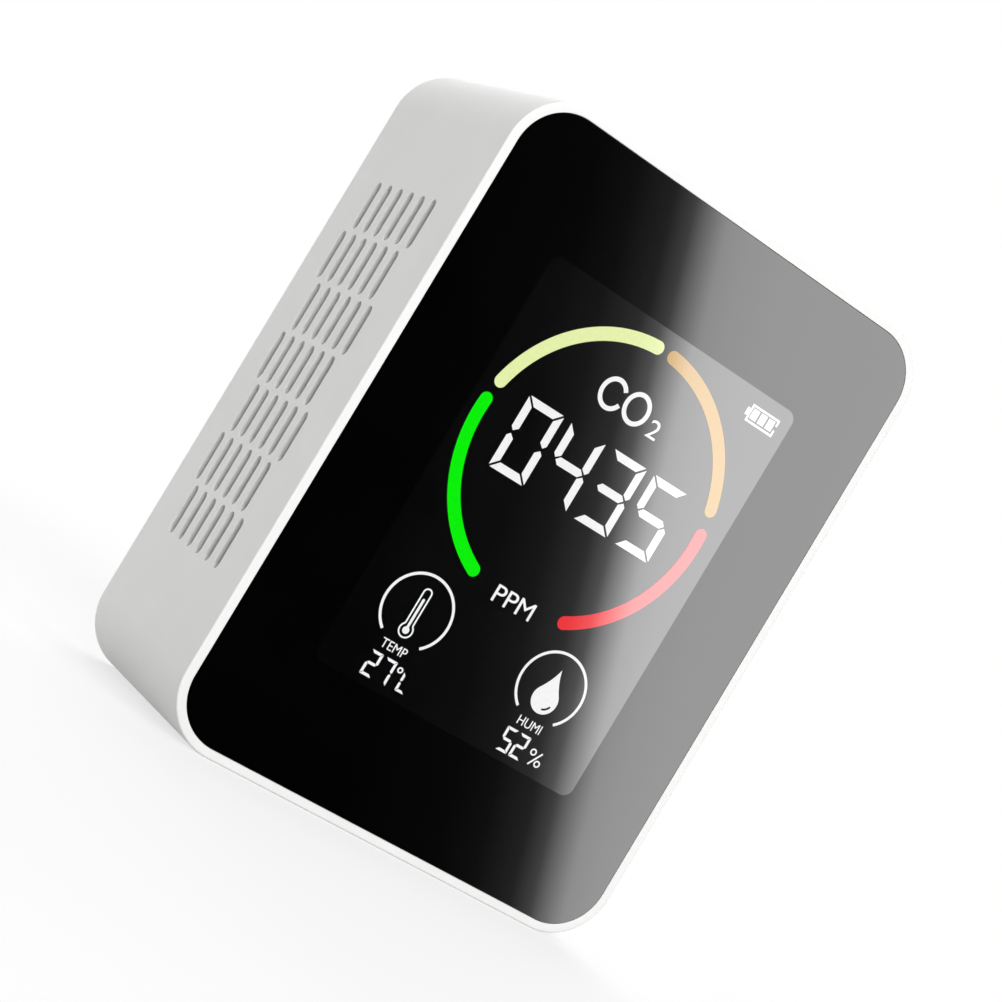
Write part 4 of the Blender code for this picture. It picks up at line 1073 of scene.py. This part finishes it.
def build_temperature():
    """Thermometer symbol, label and reading."""
    dial("temperature_ring", TEMPERATURE_X)
    tube_mid = TUBE_R - GLASS_LINE / 2
    bulb_mid = BULB_R - GLASS_LINE / 2
    meet = math.degrees(math.asin(tube_mid / bulb_mid))
    foot = BULB_Z + bulb_mid * math.cos(math.radians(meet))
    shoulder = TUBE_TOP - TUBE_R
    left, right = TEMPERATURE_X - TUBE_R, TEMPERATURE_X + TUBE_R
    outline = [
        band((TEMPERATURE_X, BULB_Z), bulb_mid, GLASS_LINE, 90 + meet, 450 - meet, False),
        band((TEMPERATURE_X, shoulder), tube_mid, GLASS_LINE, 0, 180, False),
        rectangle(left, foot, left + GLASS_LINE, shoulder),
        rectangle(right - GLASS_LINE, foot, right, shoulder),
    ]
    marks("thermometer_outline", outline, LIT["white"])
    dip = math.degrees(math.asin(COLUMN_R / COLUMN_BULB_R))
    column = arc((TEMPERATURE_X, BULB_Z), COLUMN_BULB_R, 90 + dip, 450 - dip)
    column += arc((TEMPERATURE_X, COLUMN_TOP - COLUMN_R), COLUMN_R, 0, 180)
    marks("thermometer_column", [column], LIT["white"])
    lettering("temperature_label", "TEMP", TEMPERATURE_LABEL_BOX)
    figures = small_figures(TEMPERATURE_FIGURES)
    figures += digit("L", SCALE_LEFT, SCALE_BOTTOM, SCALE_W, SCALE_H, SCALE_BAR, SMALL_GAP)
    figures += ring(DEGREE_CENTRE, DEGREE_R, DEGREE_LINE)
    marks("temperature_reading", figures, LIT["white"])


def build_humidity():
    """Drop symbol, label and reading."""
    dial("humidity_ring", HUMIDITY_X)
    x, z = DROP_CENTRE
    tip = (x, DROP_TIP_Z)
    lean = math.degrees(math.acos(DROP_R / (DROP_TIP_Z - z))) - DROP_FULL_DEG
    drop = arc(DROP_CENTRE, DROP_R, 90 + lean - 360, 90 - lean)
    neck = (x + DROP_NECK_HALF_W, DROP_TIP_Z - DROP_NECK_L)
    flank = bend(drop[-1], neck, tip, DROP_STEPS)
    far_flank = [(2 * x - u, v) for u, v in reversed(flank)]
    marks("humidity_drop", [drop + flank + [tip] + far_flank], LIT["white"])
    glint = band(DROP_CENTRE, GLINT_R, GLINT_LINE, *GLINT_ARC)
    marks("humidity_glint", [glint], MATERIALS["display_glass"], lift=GLINT_LIFT)
    lettering("humidity_label", "HUMI", HUMIDITY_LABEL_BOX)
    figures = small_figures(HUMIDITY_FIGURES)
    for centre in PERCENT_RINGS:
        figures += ring(centre, PERCENT_RING_R, PERCENT_RING_LINE)
    figures.append(stroke(*PERCENT_SLASH, PERCENT_SLASH_LINE))
    marks("humidity_reading", figures, LIT["white"])


# Studio and camera

# Viewpoint, solved from the photograph's straight edges
CAMERA_AT = Vector((-153.5686, -309.5153, 38.4589)) * MM
CAMERA_FORWARD = Vector((0.44455453, 0.89559242, 0.01689802))
CAMERA_UP = Vector((-0.46767932, 0.21618337, 0.85705356))
CAMERA_LENS = 96.72
CAMERA_SENSOR = 36.0
CAMERA_NEAR = 0.01
CAMERA_FAR = 20.0

# Floor, and where its shadow fades into white
FLOOR_SIZE = 12.0
FLOOR_ROUGHNESS = 0.9
FLOOR_LIT = 0.45
FLOOR_SEEN = 0.95
FLOOR_WHITE_SHARE = 0.7
SHADOW_NEAR = 0.06
SHADOW_FAR = 0.30

# Card that the window mirrors; its profile pairs distance from the lit band's edge with brightness
CARD_AT = Vector((0, -0.5, 0.2))
CARD_W = 1.4
CARD_H = 1.0
CARD_STRENGTH = 7.85
CARD_SLANT = 0.366
CARD_EDGE_X = 0.230
CARD_PROFILE = (
    (-0.090, 0.0),
    (-0.048, 0.004),
    (-0.032, 0.012),
    (-0.016, 0.045),
    (-0.0075, 0.15),
    (0.0, 0.5),
    (0.0066, 0.84),
    (0.016, 0.93),
    (0.032, 0.98),
    (0.110, 1.02),
    (0.200, 0.0),
)

# Surroundings, and each lamp's place, size and power
AMBIENT = 0.12
LAMP_AIM = (0, 0, 0.04)
LAMPS = {
    "front_right": ((0.25, -1.42, 0.50), 0.5, 10.8),
    "front_left": ((-0.33, -1.41, 0.50), 0.4, 9.6),
    "left": ((-1.3, -0.05, 0.16), 0.5, 5.8),
    "top": ((0.1, 0.1, 1.4), 1.0, 7.0),
    "back": ((0.5, 1.25, 0.6), 1.0, 17.0),
}


def build_camera():
    """The photograph's viewpoint, rolled as the photograph is."""
    data = bpy.data.cameras.new("camera")
    data.lens = CAMERA_LENS
    data.sensor_width = CAMERA_SENSOR
    data.clip_start = CAMERA_NEAR
    data.clip_end = CAMERA_FAR
    camera = bpy.data.objects.new("camera", data)
    forward = CAMERA_FORWARD.normalized()
    right = forward.cross(CAMERA_UP).normalized()
    up = right.cross(forward)
    turn = Matrix((right, up, -forward)).transposed().to_4x4()
    camera.matrix_world = Matrix.Translation(CAMERA_AT) @ turn
    bpy.context.scene.collection.objects.link(camera)
    bpy.context.scene.camera = camera


def seen_directly(nodes, links):
    """One for camera, glossy and transmission rays, and nought for light."""
    path = nodes.new("ShaderNodeLightPath")
    first = nodes.new("ShaderNodeMath")
    first.operation = "MAXIMUM"
    links.new(path.outputs["Is Camera Ray"], first.inputs[0])
    links.new(path.outputs["Is Glossy Ray"], first.inputs[1])
    second = nodes.new("ShaderNodeMath")
    second.operation = "MAXIMUM"
    links.new(first.outputs[0], second.inputs[0])
    links.new(path.outputs["Is Transmission Ray"], second.inputs[1])
    return second.outputs[0]


def build_world():
    """White surroundings that light the part at a plain level."""
    world = bpy.data.worlds.new("studio")
    world.use_nodes = True
    bpy.context.scene.world = world
    nodes = world.node_tree.nodes
    links = world.node_tree.links
    background = nodes["Background"]
    background.inputs["Color"].default_value = (1, 1, 1, 1)
    strength = nodes.new("ShaderNodeMapRange")
    strength.inputs["To Min"].default_value = AMBIENT
    strength.inputs["To Max"].default_value = 1.0
    links.new(seen_directly(nodes, links), strength.inputs["Value"])
    links.new(strength.outputs["Result"], background.inputs["Strength"])


def build_floor():
    """A pale floor: white far off, and partly lit near the part, so that it keeps the shadow."""
    material = bpy.data.materials.new("floor")
    material.use_nodes = True
    nodes = material.node_tree.nodes
    links = material.node_tree.links
    shader = nodes["Principled BSDF"]
    shader.inputs["Roughness"].default_value = FLOOR_ROUGHNESS
    shader.inputs["Specular IOR Level"].default_value = 0.0
    white = nodes.new("ShaderNodeEmission")
    mix = nodes.new("ShaderNodeMixShader")
    place = nodes.new("ShaderNodeTexCoord")
    away = nodes.new("ShaderNodeVectorMath")
    away.operation = "LENGTH"
    links.new(place.outputs["Object"], away.inputs[0])
    share = nodes.new("ShaderNodeMapRange")
    share.interpolation_type = "SMOOTHSTEP"
    share.inputs["From Min"].default_value = SHADOW_NEAR
    share.inputs["From Max"].default_value = SHADOW_FAR
    share.inputs["To Min"].default_value = FLOOR_WHITE_SHARE
    links.new(away.outputs["Value"], share.inputs["Value"])
    seen = seen_directly(nodes, links)
    tone = nodes.new("ShaderNodeMapRange")
    tone.inputs["To Min"].default_value = FLOOR_LIT
    tone.inputs["To Max"].default_value = FLOOR_SEEN
    links.new(seen, tone.inputs["Value"])
    links.new(tone.outputs["Result"], shader.inputs["Base Color"])
    amount = nodes.new("ShaderNodeMath")
    amount.operation = "MULTIPLY"
    links.new(seen, amount.inputs[0])
    links.new(share.outputs["Result"], amount.inputs[1])
    links.new(amount.outputs[0], mix.inputs["Fac"])
    links.new(shader.outputs["BSDF"], mix.inputs[1])
    links.new(white.outputs["Emission"], mix.inputs[2])
    links.new(mix.outputs["Shader"], nodes["Material Output"].inputs["Surface"])
    mesh = bmesh.new()
    half = FLOOR_SIZE / 2
    corners = ((-half, -half, 0), (half, -half, 0), (half, half, 0), (-half, half, 0))
    mesh.faces.new([mesh.verts.new(corner) for corner in corners])
    floor = new_piece("floor", mesh)
    floor.data.materials.append(material)
    floor.visible_glossy = False


def lamp(name, at, size, power):
    """A soft square lamp turned towards the part."""
    data = bpy.data.lights.new(name, "AREA")
    data.size = size
    data.energy = power
    obj = bpy.data.objects.new(name, data)
    obj.location = at
    obj.rotation_euler = (Vector(LAMP_AIM) - Vector(at)).to_track_quat("-Z", "Y").to_euler()
    obj.visible_camera = False
    obj.visible_glossy = False
    bpy.context.scene.collection.objects.link(obj)


def build_card(window):
    """The dark card that the window mirrors, with a lit band whose soft edge slants across it."""
    material = bpy.data.materials.new("light_card")
    material.use_nodes = True
    nodes = material.node_tree.nodes
    links = material.node_tree.links
    nodes.remove(nodes["Principled BSDF"])
    place = nodes.new("ShaderNodeTexCoord")
    along = nodes.new("ShaderNodeVectorMath")
    along.operation = "DOT_PRODUCT"
    along.inputs[1].default_value = (1, 0, CARD_SLANT)
    links.new(place.outputs["Object"], along.inputs[0])
    first = CARD_PROFILE[0][0]
    last = CARD_PROFILE[-1][0]
    spread = nodes.new("ShaderNodeMapRange")
    spread.inputs["From Min"].default_value = CARD_EDGE_X + first
    spread.inputs["From Max"].default_value = CARD_EDGE_X + last
    links.new(along.outputs["Value"], spread.inputs["Value"])
    profile = nodes.new("ShaderNodeValToRGB")
    stops = []
    for distance, level in CARD_PROFILE:
        stops.append(((distance - first) / (last - first), (level, level, level)))
    fill_ramp(profile, stops)
    links.new(spread.outputs["Result"], profile.inputs["Fac"])
    glow = nodes.new("ShaderNodeEmission")
    glow.inputs["Strength"].default_value = CARD_STRENGTH
    links.new(profile.outputs["Color"], glow.inputs["Color"])
    links.new(glow.outputs["Emission"], nodes["Material Output"].inputs["Surface"])
    mesh = bmesh.new()
    u, v = CARD_W / 2, CARD_H / 2
    mesh.faces.new([mesh.verts.new((x, 0, z)) for x, z in ((-u, -v), (u, -v), (u, v), (-u, v))])
    card = new_piece("light_card", mesh)
    card.location = CARD_AT
    card.data.materials.append(material)
    card.visible_camera = False
    card.visible_diffuse = False
    card.visible_transmission = False
    card.visible_shadow = False
    receivers = bpy.data.collections.new("card_receivers")
    for piece in [window, *MARK_PIECES]:
        receivers.objects.link(piece)
    card.light_linking.receiver_collection = receivers


def build_studio(window):
    """Camera, pale floor, white surroundings, soft lamps and the card."""
    bpy.context.scene.view_settings.view_transform = "Standard"
    build_camera()
    build_world()
    build_floor()
    for name, (at, size, power) in LAMPS.items():
        lamp(name, at, size, power)
    build_card(window)


dress_cad_nodes()
build_shell()
build_back()
window_piece = build_window()
build_gauge()
build_reading()
build_battery_mark()
build_temperature()
build_humidity()
build_studio(window_piece)
